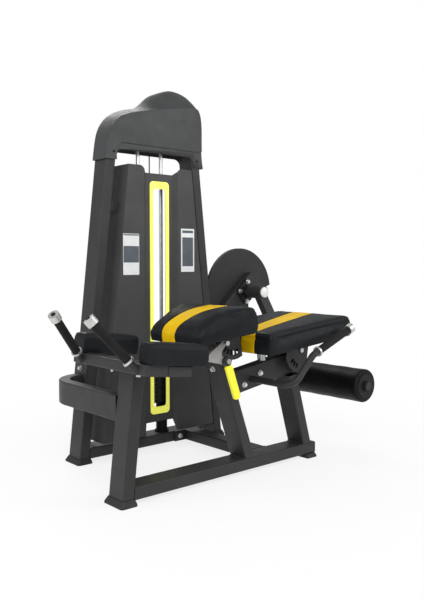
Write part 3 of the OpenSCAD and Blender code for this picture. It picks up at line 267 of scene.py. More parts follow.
def twisted_rope(name, low, high):
    # Nylon sheathed wire rope: the strands show through the black sheath as slanting ridges. The wave
    # repeats about three times in the size given, so the ridges are about 19 mm apart, wider than in life.
    material, tree, surface, place = start(name, Roughness=0.42)
    turned = add(tree, "ShaderNodeMapping", {"Vector": place, "Rotation": (0.6, 0.6, 0.0)})
    strands = add(tree, "ShaderNodeTexWave", {"Vector": turned.outputs["Vector"], "Scale": per_mm(60)},
                  bands_direction="Z")
    bumped(tree, surface, strands.outputs["Fac"], 0.6, 0.4)
    tree.links.new(mottled(tree, place, 30, low, high), surface.inputs["Base Color"])
    return material


def bare_print(name, low, high):
    # Polyester film on a thin aluminium plate: a flat, slightly glossy print with nothing written on it.
    material, tree, surface, place = start(name, IOR=1.57)
    bumped(tree, surface, noise(tree, place, 6, 3.0), 0.3, 0.05)
    tree.links.new(mottled(tree, place, 50, low, high), surface.inputs["Base Color"])
    uneven(tree, surface, place, 20, 0.3, 0.4)
    return material


class MachineFinishes(bpy.types.PropertyGroup):
    """Colours of the machine, as hex values."""

    coat_low: bpy.props.StringProperty(
        name="Powder coat, dark", description="Darker patches of the frame's coat", default="#2e2e2f")
    coat_high: bpy.props.StringProperty(
        name="Powder coat, light", description="Lighter patches of the frame's coat", default="#363637")
    hood_low: bpy.props.StringProperty(
        name="Hood, dark", description="Darker patches of the moulded hood", default="#363738")
    hood_high: bpy.props.StringProperty(
        name="Hood, light", description="Lighter patches of the moulded hood", default="#3f4041")
    leather: bpy.props.StringProperty(
        name="Pad leather", description="Black upholstery of the pads", default="#111417")
    stripe: bpy.props.StringProperty(
        name="Stripe leather", description="Gold panel sewn across the pads", default="#e9bf00")
    yellow: bpy.props.StringProperty(
        name="Yellow moulding", description="Slot frame, lever and selector knob", default="#f7f23e")


class MachinePads(bpy.types.PropertyGroup):
    """How the pads are made."""

    voxel: bpy.props.FloatProperty(
        name="Skin grid", description="Grid size of a pad's skin", default=0.006, min=0.004, max=0.012,
        unit="LENGTH")
    swell: bpy.props.FloatProperty(
        name="Swell", description="How far the skin may rise over the foam", default=0.005, min=0.0, max=0.02,
        unit="LENGTH")
    calm: bpy.props.IntProperty(
        name="Wrinkle smoothing", description="Rounds that spread the skin's wrinkles", default=10, min=0,
        max=40)
    proud: bpy.props.FloatProperty(
        name="Leather", description="How far the leather stands outside the foam", default=0.004, min=0.0,
        max=0.008, unit="LENGTH")
    edge: bpy.props.FloatProperty(
        name="Edge", description="How far the pads' rounded edges are drawn out", default=0.008, min=0.001,
        max=0.02, unit="LENGTH")
    seam: bpy.props.FloatProperty(
        name="Seam depth", description="Depth of the sewn seams", default=0.0024, min=0.0, max=0.005,
        unit="LENGTH")
    stitch: bpy.props.FloatProperty(
        name="Stitch spacing", description="Distance between stitches beside a seam", default=0.008,
        min=0.004, max=0.02, unit="LENGTH")


class MachineTrim(bpy.types.PropertyGroup):
    """Sizes of the small pieces."""

    hood_round: bpy.props.FloatProperty(
        name="Hood rounding", description="Radius of the hood's outer edges", default=0.012, min=0.002,
        max=0.02, unit="LENGTH")
    hood_brow: bpy.props.FloatProperty(
        name="Hood brow", description="How far the hood's front stands out above its crease", default=0.005,
        min=0.001, max=0.008, unit="LENGTH")
    plate_thick: bpy.props.FloatProperty(
        name="Plate thickness", description="Thickness of the bare plates on the cover", default=0.0012,
        min=0.0005, max=0.004, unit="LENGTH")


class MachineStage(bpy.types.PropertyGroup):
    """Camera and floor."""

    eye: bpy.props.FloatVectorProperty(
        name="Camera place", description="Where the camera stands", default=(-1.425, -2.153, 0.905), size=3,
        subtype="TRANSLATION", unit="LENGTH")
    heading: bpy.props.FloatProperty(
        name="Heading", description="View direction, from +Y towards +X", default=math.radians(41.1),
        subtype="ANGLE")
    pitch: bpy.props.FloatProperty(
        name="Pitch", description="How far the camera looks down", default=math.radians(3.13),
        subtype="ANGLE")
    lens: bpy.props.FloatProperty(
        name="Lens", description="Focal length on a 36 mm high frame", default=41.76, min=10.0,
        subtype="DISTANCE_CAMERA")


def finish(name):
    """One of the materials that the finishes operator made."""
    return bpy.data.materials[name]


def link(name, data):
    """A new object in the scene."""
    thing = bpy.data.objects.new(name, data)
    bpy.context.scene.collection.objects.link(thing)
    return thing


def meshed(name, shape):
    """A mesh from a bmesh, which is freed."""
    mesh = bpy.data.meshes.new(name)
    shape.to_mesh(mesh)
    shape.free()
    return mesh


def make(name, shape, materials, body, angle=32.0):
    """A finished piece from a bmesh, smooth up to that angle, riding on a body."""
    return piece(name, meshed(name, shape), materials, body, angle)


def piece(name, mesh, materials, body, angle):
    """A finished piece from a mesh."""
    if mesh.materials:
        mesh.materials.clear()
    for material in materials:
        mesh.materials.append(finish(material))
    mesh.shade_smooth()
    mesh.set_sharp_from_angle(angle=math.radians(angle))
    thing = link(name, mesh)
    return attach(thing, body)


def joined(shape, other):
    """Adds a second bmesh to a first, in the second material."""
    for side in other.faces:
        side.material_index = 1
    mesh = meshed("addition", other)
    shape.from_mesh(mesh)
    bpy.data.meshes.remove(mesh)


def solid(node):
    """A node's solid as a bmesh with its corners joined."""
    shape = bmesh.new()
    shape.from_mesh(NODES[node].data)
    bmesh.ops.remove_doubles(shape, verts=shape.verts, dist=1e-5)
    return shape


def surface_of(mesh):
    """A mesh's faces, to look up points on them."""
    return BVHTree.FromPolygons([v.co for v in mesh.vertices], [tuple(p.vertices) for p in mesh.polygons])


def settled(thing):
    """The mesh that an object's modifiers give."""
    bpy.context.view_layer.update()
    graph = bpy.context.evaluated_depsgraph_get()
    return bpy.data.meshes.new_from_object(thing.evaluated_get(graph))


def pad_rise(node):
    """The angle at which a pad's underside rises along +X."""
    under = [p.normal * p.area for p in NODES[node].data.polygons if p.normal.z < -0.9]
    down = sum(under, Vector())
    return math.atan2(down.x, -down.z)


def even_skin(node, voxel, wrap):
    """A pad's solid skinned on an even grid, the leather drawn down over the board's edge."""
    shape = solid(node)
    rise = pad_rise(node)
    drop = Vector((math.sin(rise), 0.0, -math.cos(rise))) * wrap
    for point in {v for f in shape.faces if f.normal.z < -0.9 for v in f.verts}:
        point.co += drop
    thing = link("working", meshed("skin", shape))
    grid = thing.modifiers.new("Grid", "REMESH")
    grid.mode = "VOXEL"
    grid.voxel_size = voxel
    skin = settled(thing)
    bpy.data.objects.remove(thing)
    shape = bmesh.new()
    shape.from_mesh(skin)
    bmesh.ops.smooth_vert(shape, verts=shape.verts, factor=0.5, use_axis_x=True, use_axis_y=True,
                          use_axis_z=True)
    shape.to_mesh(skin)
    shape.free()
    return skin


def blown_up(skin, pads):
    """The skin drawn in, blown up by cloth pressure, held on its board, and its wrinkles spread."""
    drawn_in = pads.swell * 0.6
    pressure, frames = 4.0, 20
    normals = [v.normal.copy() for v in skin.vertices]
    held = [n.z < -0.55 for n in normals]
    for point, normal, still in zip(skin.vertices, normals, held):
        if not still:
            point.co -= normal * drawn_in
    skin.update()
    rest = [v.co.copy() for v in skin.vertices]
    thing = link("working", skin)
    thing.vertex_groups.new(name="board").add([i for i, still in enumerate(held) if still], 1.0, "ADD")
    cloth = thing.modifiers.new("Pressure", "CLOTH")
    cloth.settings.use_pressure = True
    cloth.settings.uniform_pressure_force = pressure
    cloth.settings.effector_weights.gravity = 0.0
    cloth.settings.vertex_group_mass = "board"
    cloth.collision_settings.use_collision = False
    cloth.point_cache.frame_start = 1
    cloth.point_cache.frame_end = frames
    for number in range(1, frames + 1):
        bpy.context.scene.frame_set(number)
    swollen = settled(thing)
    moved = [v.co.copy() for v in swollen.vertices]
    bpy.data.objects.remove(thing)
    bpy.data.meshes.remove(swollen)
    bpy.context.scene.frame_set(1)
    lift = [0.0 if still else min((end - begin).dot(normal), pads.swell)
            for begin, end, normal, still in zip(rest, moved, normals, held)]
    for _ in range(pads.calm):
        sums, counts = lift[:], [1] * len(lift)
        for edge in skin.edges:
            a, b = edge.vertices
            sums[a] += lift[b]
            sums[b] += lift[a]
            counts[a] += 1
            counts[b] += 1
        lift = [0.0 if still else total / count for total, count, still in zip(sums, counts, held)]
    for point, begin, normal, rise in zip(skin.vertices, rest, normals, lift):
        point.co = begin + normal * rise
    skin.update()
    return skin


def finer(skin):
    """The skin after one subdivision."""
    thing = link("working", skin)
    rounds = thing.modifiers.new("Rounds", "SUBSURF")
    rounds.levels = rounds.render_levels = 1
    mesh = settled(thing)
    bpy.data.objects.remove(thing)
    return mesh


def sewn(mesh, stripe, depth):
    """Sinks the seams: along the stripe's edges, and round the pad where its top turns into its sides."""
    half = 0.003
    rim_normal, rim_spread, rim_share = 0.45, 0.16, 0.8
    moves = []
    for point in mesh.vertices:
        normal = point.normal
        sink = math.exp(-((normal.z - rim_normal) / rim_spread) ** 2) * rim_share
        if stripe and normal.z > -0.5:
            x0, near, far = stripe
            for y0, slope in (near, far):
                away = abs(point.co.y - y0 - slope * (point.co.x - x0)) / math.hypot(1.0, slope)
                sink = max(sink, math.exp(-(away / half) ** 2))
        moves.append(normal * (-depth * sink))
    for point, move in zip(mesh.vertices, moves):
        point.co += move
    mesh.update()
    return mesh


def stitches(name, mesh, stripe, span, pads, body):
    """Thread beside both edges of a gold panel, laid on the pad's own surface."""
    above, beside, sunk = 2.0, 0.0055, 0.0002
    size = Matrix.Diagonal((pads.stitch * 0.36, 0.0007, 0.0006, 1.0))
    tree = surface_of(mesh)
    shape = bmesh.new()
    x0, near, far = stripe
    low, high = span
    for (y0, slope), side in ((near, -1), (far, 1)):
        count = int((high - low) * math.hypot(1.0, slope) / pads.stitch)
        turn = Matrix.Rotation(math.atan(slope), 4, "Z")
        for i in range(count + 1):
            x = low + (high - low) * i / count
            y = y0 + slope * (x - x0) + side * beside
            hit, normal, _, _ = tree.ray_cast(Vector((x, y, above)), -UP)
            if hit is None or normal.z < 0.6:
                continue
            tilt = UP.rotation_difference(normal).to_matrix().to_4x4()
            place = Matrix.Translation(hit - normal * sunk) @ tilt @ turn
            bmesh.ops.create_uvsphere(shape, u_segments=6, v_segments=4, radius=1.0, matrix=place @ size)
    return make(name, shape, ["Polyester thread"], body, 60.0)


def fitted(mesh, box, proud, wrap, room):
    """Stretches a skin over its solid's box, let out by the leather.

    The room is what its two ends stay back, so that pads can fold past each other."""
    low = [box[0][0] - proud + room[0], box[0][1] - proud, box[0][2] - wrap]
    high = [box[1][0] + proud - room[1], box[1][1] + proud, box[1][2] + proud]
    for axis in range(3):
        values = [v.co[axis] for v in mesh.vertices]
        least, most = min(values), max(values)
        for point, value in zip(mesh.vertices, values):
            point.co[axis] = low[axis] + (value - least) / (most - least) * (high[axis] - low[axis])
    mesh.update()
    return mesh


def squared(mesh, rise, edge):
    """Draws the rounded edges of a pad, or of each pad of a pair, out towards its own level box."""
    level = Matrix.Rotation(rise, 3, "Y")
    pair = all(abs(v.co.y) > 0.01 for v in mesh.vertices)
    for side in (-1, 1) if pair else (0,):
        points = [v for v in mesh.vertices if v.co.y * side >= 0.0]
        places = [level @ v.co for v in points]
        for axis in range(3):
            low, high = min(p[axis] for p in places), max(p[axis] for p in places)
            middle, half = (low + high) / 2, (high - low) / 2
            share = edge / half
            for place in places:
                away = 1.0 - min(1.0, abs(place[axis] - middle) / half)
                away *= (1.0 + share) * away / (away + share)
                place[axis] = middle + math.copysign(half * (1.0 - away), place[axis] - middle)
        for point, place in zip(points, places):
            point.co = level.inverted() @ place
    mesh.update()
    return mesh


def pad(name, node, body, material, pads, wrap, room=(0.0, 0.0), stripe=None):
    """A sewn pad in place of its solid."""
    skin = finer(blown_up(even_skin(node, pads.voxel, wrap), pads))
    skin = fitted(skin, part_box(node), pads.proud, wrap, room)
    mesh = sewn(squared(skin, pad_rise(node), pads.edge), stripe, pads.seam)
    thing = piece(name, mesh, [material], body, 180.0)
    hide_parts(node)
    return thing


def lathe(profile, centre, segments=64):
    """A turned shape: profile points are along Y and out from the axis, and the axis runs along Y."""
    shape = bmesh.new()
    line = [shape.verts.new((centre[0], along, centre[1] + radius)) for along, radius in profile]
    edges = [shape.edges.new(pair) for pair in zip(line, line[1:])]
    bmesh.ops.spin(shape, geom=line + edges, cent=(centre[0], 0.0, centre[1]), axis=(0.0, 1.0, 0.0),
                   angle=math.tau, steps=segments, use_merge=True)
    bmesh.ops.remove_doubles(shape, verts=shape.verts, dist=1e-6)
    bmesh.ops.recalc_face_normals(shape, faces=shape.faces)
    return shape


def ease(t):
    """A smooth step from 0 to 1."""
    t = min(max(t, 0.0), 1.0)
    return t * t * (3 - 2 * t)


def hood_ring(share):
    """Outline of the hood from its left foot over the top to its right foot, at a share of its depth."""
    rows, columns, rounds = 14, 48, 6
    middle, shoulder = 0.566, 0.180
    left, right = middle - 0.2825, middle + 0.293
    turn, top_right = left + 0.060, right - 0.029

    def roof(t):
        crest = (0.014 + 0.012 * ease(t / 0.2) - 0.034 * ease((t - 0.79) / 0.27)
                 + 0.078 * (0.59 * ease((t - 0.35) / 0.17) + 0.41 * ease((t - 0.4) / 0.4)))
        return HOOD_FOOT + shoulder + 0.118 * t ** 0.6 + crest * share

    ring = []
    for i in range(rows):
        u = i / rows
        ring.append((left + 0.024 * u + 0.036 * u ** 5, HOOD_FOOT + (shoulder + 0.014 * share) * u))
    for i in range(columns + 1):
        t = i / columns
        ring.append((turn + (top_right - turn) * t, roof(t)))
    for i in range(rows - 1, -1, -1):
        u = i / rows
        waist = 0.012 * math.sin(math.pi * u ** 0.7) + 0.029 * u ** 6
        ring.append((right - waist, HOOD_FOOT + (roof(1) - HOOD_FOOT) * u))
    for _ in range(rounds):
        ring[4:-1] = [tuple((a + 2 * b + c) / 4 for a, b, c in zip(*three))
                      for three in zip(ring[3:], ring[4:-1], ring[5:])]
    return ring


def hood_arch():
    """The opening's outline from its left foot over to its right foot."""
    middle, half, height = 0.570, 0.226, 0.050
    turns = [math.radians(a) for a in range(0, 91, 9)]
    left = [(middle - half + ARCH_ROUND - ARCH_ROUND * math.cos(a),
             HOOD_FOOT + height - ARCH_ROUND + ARCH_ROUND * math.sin(a)) for a in turns]
    right = [(2 * middle - x, z) for x, z in reversed(left)]
    return [(middle - half, HOOD_FOOT)] + left + right + [(middle + half, HOOD_FOOT)]


def hood_shape(trim):
    """The hood's skin: rings bridged over the depth, closed ends with the arch cut out, and a raised brow."""
    steps = 10
    shape = bmesh.new()
    rings, last = [], None
    for k in range(steps + 1):
        s = k / steps
        y = HOOD_FRONT + (HOOD_REAR - HOOD_FRONT) * s
        ring = [shape.verts.new((x, y, z)) for x, z in hood_ring(1 - (1 - s) ** 1.4)]
        rings.append(ring)
        edges = [shape.edges.new(pair) for pair in zip(ring, ring[1:])]
        if last:
            bmesh.ops.bridge_loops(shape, edges=edges + last)
        last = edges
    arch = [shape.verts.new((x, HOOD_REAR, z)) for x, z in hood_arch()]
    shape.faces.new(rings[-1] + arch[::-1])
    arch = [shape.verts.new((x, HOOD_FRONT, z)) for x, z in hood_arch()]
    ring = rings[0]
    # The crease leaves the opening's left foot, bends round its corner and runs level to the right side.
    bend_x, bend_z, crease_z = 0.384, 1.380, 1.450
    stop = max(i for i, v in enumerate(ring) if v.co.z > crease_z)
    line = []
    for i in range(1, 11):
        a = math.radians(9 * i)
        radius = ARCH_ROUND + 0.030 * ease(i / 10)
        line.append((bend_x - radius * math.cos(a), bend_z + radius * math.sin(a)))
    line += [(bend_x + (ring[stop].co.x - bend_x) * i / 12, crease_z) for i in range(1, 12)]
    crease = [shape.verts.new((x, HOOD_FRONT, z)) for x, z in line] + [ring[stop]]
    brow = shape.faces.new(ring[:stop + 1] + crease[-2::-1] + [arch[1], arch[0]])
    shape.faces.new([arch[1]] + crease + ring[stop + 1:] + arch[:1:-1])
    raised = bmesh.ops.extrude_face_region(shape, geom=[brow])["geom"]
    bmesh.ops.delete(shape, geom=[brow], context="FACES")
    points = [g for g in raised if isinstance(g, bmesh.types.BMVert)]
    bmesh.ops.translate(shape, verts=points, vec=(0.0, -trim.hood_brow, 0.0))
    bmesh.ops.recalc_face_normals(shape, faces=shape.faces)
    rim = [e for g in raised if isinstance(g, bmesh.types.BMFace) for e in g.edges]
    outer = [e for e in rim if all(v.co.z > HOOD_FOOT + 0.002 for v in e.verts)]
    bmesh.ops.bevel(shape, geom=outer, offset=trim.hood_round * 0.6, segments=4, profile=0.5, affect="EDGES",
                    material=-1, clamp_overlap=True)
    return shape


def rounded_plate(low, high, radius):
    """A flat plate between two corners, thin along Y, with rounded corners."""
    shape = bmesh.new()
    low, high = Vector(low), Vector(high)
    size = high - low
    place = Matrix.Translation((low + high) / 2) @ Matrix.Diagonal((*size, 1.0))
    bmesh.ops.create_cube(shape, size=1.0, matrix=place)
    upright = [e for e in shape.edges if abs(e.verts[0].co.y - e.verts[1].co.y) > 0.5 * size.y]
    bmesh.ops.bevel(shape, geom=upright, offset=radius, segments=5, profile=0.5, affect="EDGES", material=-1)
    return shape


# Tubes whose cut end is welded to another piece.
WELDED = (("head_leg", "bench_rail"), ("mid_leg", "bench_rail"), ("rear_leg", "bench_rail"),
          ("seat_beam", "mid_leg"), ("seat_beam", "rear_leg"), ("left_upright", "tower_rail"),
          ("right_upright", "tower_rail"), ("head_leg", "flange_plates"), ("elbow_arms", "head_crossbar"),
          ("link_tube", "bench_rail"), ("pivot_support", "rear_leg"))


def lay_bead(node, other):
    """Weld beads along the outer edges of a node that lie on another one, as a row of overlapping drops."""
    reach, spacing, radius, lift = 0.0015, 0.005, 0.0036, 0.0006
    shape = solid(node)
    bmesh.ops.dissolve_limit(shape, angle_limit=math.radians(1), verts=shape.verts, edges=shape.edges)
    tree = surface_of(NODES[other].data)
    lines = []
    for edge in shape.edges:
        ends = [v.co.copy() for v in edge.verts]
        hit, normal, _, _ = tree.find_nearest((ends[0] + ends[1]) / 2, reach)
        if hit is None or len(edge.link_faces) != 2:
            continue
        if any(tree.find_nearest(end, reach)[0] is None for end in ends):
            continue
        walls = [f.normal.copy() for f in edge.link_faces if abs(f.normal.dot(normal)) < 0.9]
        if walls:
            lines.append((*ends, walls[0], normal))
    shape.free()
    if not lines:
        return
    centre = sum((a + b for a, b, _, _ in lines), Vector()) / (2 * len(lines))
    bead = bmesh.new()
    for a, b, wall, normal in lines:
        if wall.dot((a + b) / 2 - centre) < 0:
            continue
        count = max(1, round((b - a).length / spacing))
        turn = wall.rotation_difference(UP).inverted().to_matrix().to_4x4()
        for i in range(count + 1):
            spot = a.lerp(b, i / count) + wall * lift + normal * lift
            bmesh.ops.create_icosphere(bead, subdivisions=1, radius=radius,
                                       matrix=Matrix.Translation(spot) @ turn)
    make(f"weld_{node}_{other}", bead, ["Charcoal powder coat"], "frame", 80.0)


COATED = {
    "Charcoal powder coat": (
        "bench_rail head_leg mid_leg rear_leg seat_beam head_crossbar elbow_arms link_tube tower_rail "
        "left_upright right_upright top_plates brace flange_plates pivot_support cover_brackets hip_bracket "
        "arm_hub arm_tube back_frame seat_frame"),
    "Cover powder coat": "front_cover",
    "Dark powder coat": "cam head_handle_bars side_handles elbow_boards roller_axle",
    "Black cast iron": "flange_bearing plates_at_rest head_plate lifted_plates",
    "Charcoal boot plastic": "foot_boots",
    "Black nylon": "roller_caps low_pulley first_top_pulley second_top_pulley",
    "Yellow ABS": "selector_pin release_lever",
    "Lemon ABS": "slot_frame",
    "Zinc plated steel": "pulley_mounts seat_stop pivot_shaft selector_stem latch_pin hinge_pins",
    "Bright plated steel": "guide_rods frame_bolts",
    "Black rubber": "stack_buffers grips seat_plunger",
    "Satin aluminium": "grip_ends",
    "Ivory ABS": "shaft_cap",
    "Grey nylon": "latch_bracket",
    "Sheathed wire rope": "cable",
}


class MACHINE_OT_finishes(bpy.types.Operator):
    """Makes every material and puts the rigid pieces in theirs"""

    bl_idname = "machine.finishes"
    bl_label = "Finishes"

    def execute(self, context):
        looks = context.scene.machine_finishes
        powder_coat("Charcoal powder coat", looks.coat_low, looks.coat_high)
        powder_coat("Cover powder coat", "#3b3b3c", "#434344")
        powder_coat("Dark powder coat", "#29292a", "#313132")
        moulded_abs("Charcoal ABS", looks.hood_low, looks.hood_high, 1.6, 0.44)
        moulded_abs("Charcoal boot plastic", "#2b2b2c", "#333334", 2.0, 0.5, 0.2)
        moulded_abs("Black nylon", "#141415", "#1b1b1c", 2.0, 0.5, 0.2)
        moulded_abs("Grey nylon", "#8f8d8b", "#9d9b99", 2.0, 0.45)
        # The last number of these two is painted light: a glow that brightens the yellow where it lies in
        # shade, strongest on the slot frame.
        moulded_abs("Yellow ABS", "#efe834", looks.yellow, 2.4, 0.36, 0.4, 0.08)
        moulded_abs("Lemon ABS", "#efee58", "#f5f56c", 2.4, 0.36, 0.4, 0.36)
        moulded_abs("Ivory ABS", "#e4e3e0", "#f4f3f1", 2.4, 0.34, 0.5)
        cast_iron("Black cast iron", "#161617", "#202021")
        plated_steel("Zinc plated steel", "#a9adb1", "#c9cccf", 0.28)
        plated_steel("Bright plated steel", "#c8cbce", "#e6e8ea", 0.32)
        plated_steel("Satin aluminium", "#c6c7c3", "#dddeda", 0.38)
        rubber("Black rubber", "#151516", "#1e1e1f", 1.2, 0.55)
        rubber("Skinned foam", "#070708", "#0c0c0d", 2.0, 0.4)
        twisted_rope("Sheathed wire rope", "#161617", "#222223")
        sewn_leather("Black leather", looks.leather, "#181b1f")
        sewn_leather("Bench leather", looks.leather, "#181b1f", SEAT_STRIPE, ("#d4a900", looks.stripe))
        sewn_leather("Back leather", looks.leather, "#181b1f", BACK_STRIPE, ("#d4a900", looks.stripe))
        rubber("Polyester thread", "#1c1e21", "#26282b", 1.0, 0.6)
        bare_print("White plate film", "#d9dbdc", "#e6e8e9")
        bare_print("Slate plate film", "#39434c", "#46515b")
        for name, nodes in COATED.items():
            for node in nodes.split():
                mesh = NODES[node].data
                mesh.materials.clear()
                mesh.materials.append(finish(name))
        return {"FINISHED"}


class MACHINE_OT_hood(bpy.types.Operator):
    """Makes the moulded hood of the tower"""

    bl_idname = "machine.hood"
    bl_label = "Tower hood"

    def execute(self, context):
        trim = context.scene.machine_trim
        hood = make("hood", hood_shape(trim), ["Charcoal ABS"], "frame", 40.0)
        wall = hood.modifiers.new("Wall", "SOLIDIFY")
        wall.thickness = 0.003
        wall.offset = -1.0
        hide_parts("tower_cap")
        return {"FINISHED"}


class MACHINE_OT_seat_pad(bpy.types.Operator):
    """Makes the seat pad with its gold panel"""

    bl_idname = "machine.seat_pad"
    bl_label = "Seat pad"

    def execute(self, context):
        pads = context.scene.machine_pads
        thing = pad("seat_cushion", "seat_pad", "seat", "Bench leather", pads, PAD_WRAP, (PAD_ROOM, 0.0),
                    SEAT_STRIPE)
        stitches("seat_stitches", thing.data, SEAT_STRIPE, SEAT_SPAN, pads, "seat")
        return {"FINISHED"}


class MACHINE_OT_back_pad(bpy.types.Operator):
    """Makes the folding pad with its gold panel"""

    bl_idname = "machine.back_pad"
    bl_label = "Back pad"

    def execute(self, context):
        pads = context.scene.machine_pads
        thing = pad("back_cushion", "back_pad", "back", "Back leather", pads, PAD_WRAP, (0.0, PAD_ROOM),
                    BACK_STRIPE)
        stitches("back_stitches", thing.data, BACK_STRIPE, BACK_SPAN, pads, "back")
        return {"FINISHED"}


class MACHINE_OT_elbow_pads(bpy.types.Operator):
    """Makes the two elbow pads"""

    bl_idname = "machine.elbow_pads"
    bl_label = "Elbow pads"

    def execute(self, context):
        pads = context.scene.machine_pads
        pad("elbow_cushions", "elbow_pads", "frame", "Black leather", pads, ELBOW_WRAP)
        return {"FINISHED"}


class MACHINE_OT_roller(bpy.types.Operator):
    """Makes the skinned foam roller"""

    bl_idname = "machine.roller"
    bl_label = "Foam roller"

    def execute(self, context):
        low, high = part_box("roller_foam")
        centre = ((low[0] + high[0]) / 2, (low[2] + high[2]) / 2)
        radius, bore, corner, dish, wave = (high[0] - low[0]) / 2, 0.030, 0.012, 0.001, 0.0012
        profile = [(low[1] + dish, bore), (low[1] + dish, radius * 0.55), (low[1], radius * 0.7)]
        bend = [math.radians(a) for a in range(0, 91, 15)]
        near, far, edge = low[1] + corner, high[1] - corner, radius - corner
        profile += [(near - corner * math.cos(a), edge + corner * math.sin(a)) for a in bend]
        for i in range(1, 16):
            t = i / 16
            profile.append((near + (far - near) * t, radius - wave * math.sin(math.pi * t * 3) ** 2))
        profile += [(far + corner * math.sin(a), edge + corner * math.cos(a)) for a in bend]
        profile += [(high[1], radius * 0.7), (high[1] - dish, radius * 0.55), (high[1] - dish, bore)]
        roller = make("roller", lathe(profile, centre, 96), ["Skinned foam"], "roller", 50.0)
        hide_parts("roller_foam")
        return {"FINISHED"}


class MACHINE_OT_cable_drop(bpy.types.Operator):
    """Makes the run of cable that shortens as the stack rises"""

    bl_idname = "machine.cable_drop"
    bl_label = "Cable to the stack"

    def execute(self, context):
        low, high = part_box("cable_drop")
        middle = ((low[0] + high[0]) / 2, (low[1] + high[1]) / 2)
        radius, length = (high[0] - low[0]) / 2, high[2] - low[2]
        shape = bmesh.new()
        bmesh.ops.create_cone(shape, cap_ends=True, segments=20, radius1=radius, radius2=radius, depth=length,
                              matrix=Matrix.Translation((*middle, low[2] + length / 2)))
        long_edges = [e for e in shape.edges if abs(e.verts[0].co.z - e.verts[1].co.z) > length / 2]
        bmesh.ops.subdivide_edges(shape, edges=long_edges, cuts=40, use_grid_fill=True)
        thing = make("cable_drop_rope", shape, ["Sheathed wire rope"], "frame", 40.0)
        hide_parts("cable_drop")
        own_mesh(thing)
        return {"FINISHED"}


class MACHINE_OT_lever(bpy.types.Operator):
    """Makes the release lever: a dark hub with a yellow sleeve"""

    bl_idname = "machine.lever"
    bl_label = "Release lever"

    def execute(self, context):
        low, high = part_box("release_lever")
        near, far = low[1], high[1]
        bore, face, radius, chamfer = 0.0061, 0.0180, 0.0190, 0.001
        shape = lathe([(near, bore), (near, face), (near + chamfer, radius), (far - chamfer, radius),
                       (far, face), (far, bore), (near, bore)], LEVER_HUB, 48)
        begin, end, width = 0.017, 0.167, 0.0335
        sleeve = bmesh.new()
        bmesh.ops.create_cube(sleeve, size=1.0, matrix=Matrix.Translation((0.0, 0.0, -(begin + end) / 2)) @
                              Matrix.Diagonal((width, far - near, end - begin, 1.0)))
        turned = [e for e in sleeve.edges if abs(e.verts[0].co.y - e.verts[1].co.y) > 0.01]
        bmesh.ops.bevel(sleeve, geom=turned, offset=0.011, segments=6, profile=0.5, affect="EDGES",
                        material=-1)
        rim = [e for e in sleeve.edges if abs(e.verts[0].co.y - e.verts[1].co.y) < 1e-6]
        bmesh.ops.bevel(sleeve, geom=rim, offset=0.0045, segments=4, profile=0.5, affect="EDGES", material=-1)
        hub = Matrix.Translation((LEVER_HUB[0], (near + far) / 2, LEVER_HUB[1]))
        bmesh.ops.transform(sleeve, matrix=hub @ Matrix.Rotation(LEVER_LEAN, 4, "Y"), verts=sleeve.verts)
        joined(shape, sleeve)
        lever = make("lever", shape, ["Dark powder coat", "Yellow ABS"], "lever", 40.0)
        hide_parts("release_lever")
        return {"FINISHED"}


class MACHINE_OT_plates(bpy.types.Operator):
    """Puts the two bare plates on the tower's cover"""

    bl_idname = "machine.plates"
    bl_label = "Bare plates"

    def execute(self, context):
        front, film = COVER_FACE - context.scene.machine_trim.plate_thick, 0.0003
        for name, (x0, x1), (z0, z1), panels in PLATES:
            wide, tall = x1 - x0, z1 - z0
            shape = rounded_plate((x0, front, z0), (x1, COVER_FACE, z1), 0.003)
            for a, b, c, d in panels:
                joined(shape, rounded_plate((x0 + wide * a, front - film, z0 + tall * c),
                                            (x0 + wide * b, front + film, z0 + tall * d), 0.001))
            make(name, shape, ["White plate film", "Slate plate film"], "frame")
        return {"FINISHED"}


class MACHINE_OT_screws(bpy.types.Operator):
    """Puts the socket screws in the hood and the plugs in the grips' ends"""

    bl_idname = "machine.screws"
    bl_label = "Screws and plugs"

    def execute(self, context):
        proud = 0.0022
        brow = HOOD_FRONT - context.scene.machine_trim.hood_brow
        for name, x, face in (("screw_left", 0.328, brow), ("screw_right", 0.820, HOOD_FRONT)):
            profile = [(face - proud + along, radius) for along, radius in SCREW_HEAD]
            make(name, lathe(profile, (x, 1.405), 24), ["Black nylon"], "frame")
        for name, tip, way in GRIP_ENDS:
            for side, mirror in (("near", 1), ("far", -1)):
                end = Vector((tip[0], tip[1] * mirror, tip[2]))
                out = Vector((way[0], way[1] * mirror, way[2])).normalized()
                place = Matrix.Translation(end) @ UP.rotation_difference(out).to_matrix().to_4x4()
                shape = bmesh.new()
                bmesh.ops.create_cone(shape, cap_ends=True, segments=32, radius1=0.0095, radius2=0.0085,
                                      depth=0.005)
                top = [f for f in shape.faces if f.normal.z > 0.9]
                bmesh.ops.inset_region(shape, faces=top, thickness=0.002, depth=-0.0012)
                bmesh.ops.transform(shape, matrix=place, verts=shape.verts)
                make(f"plug_{name}_{side}", shape, ["Black rubber"], "frame")
        return {"FINISHED"}


class MACHINE_OT_welds(bpy.types.Operator):
    """Lays weld beads where one tube ends on another"""

    bl_idname = "machine.welds"
    bl_label = "Welds"

    def execute(self, context):
        for node, other in WELDED:
            lay_bead(node, other)
        return {"FINISHED"}


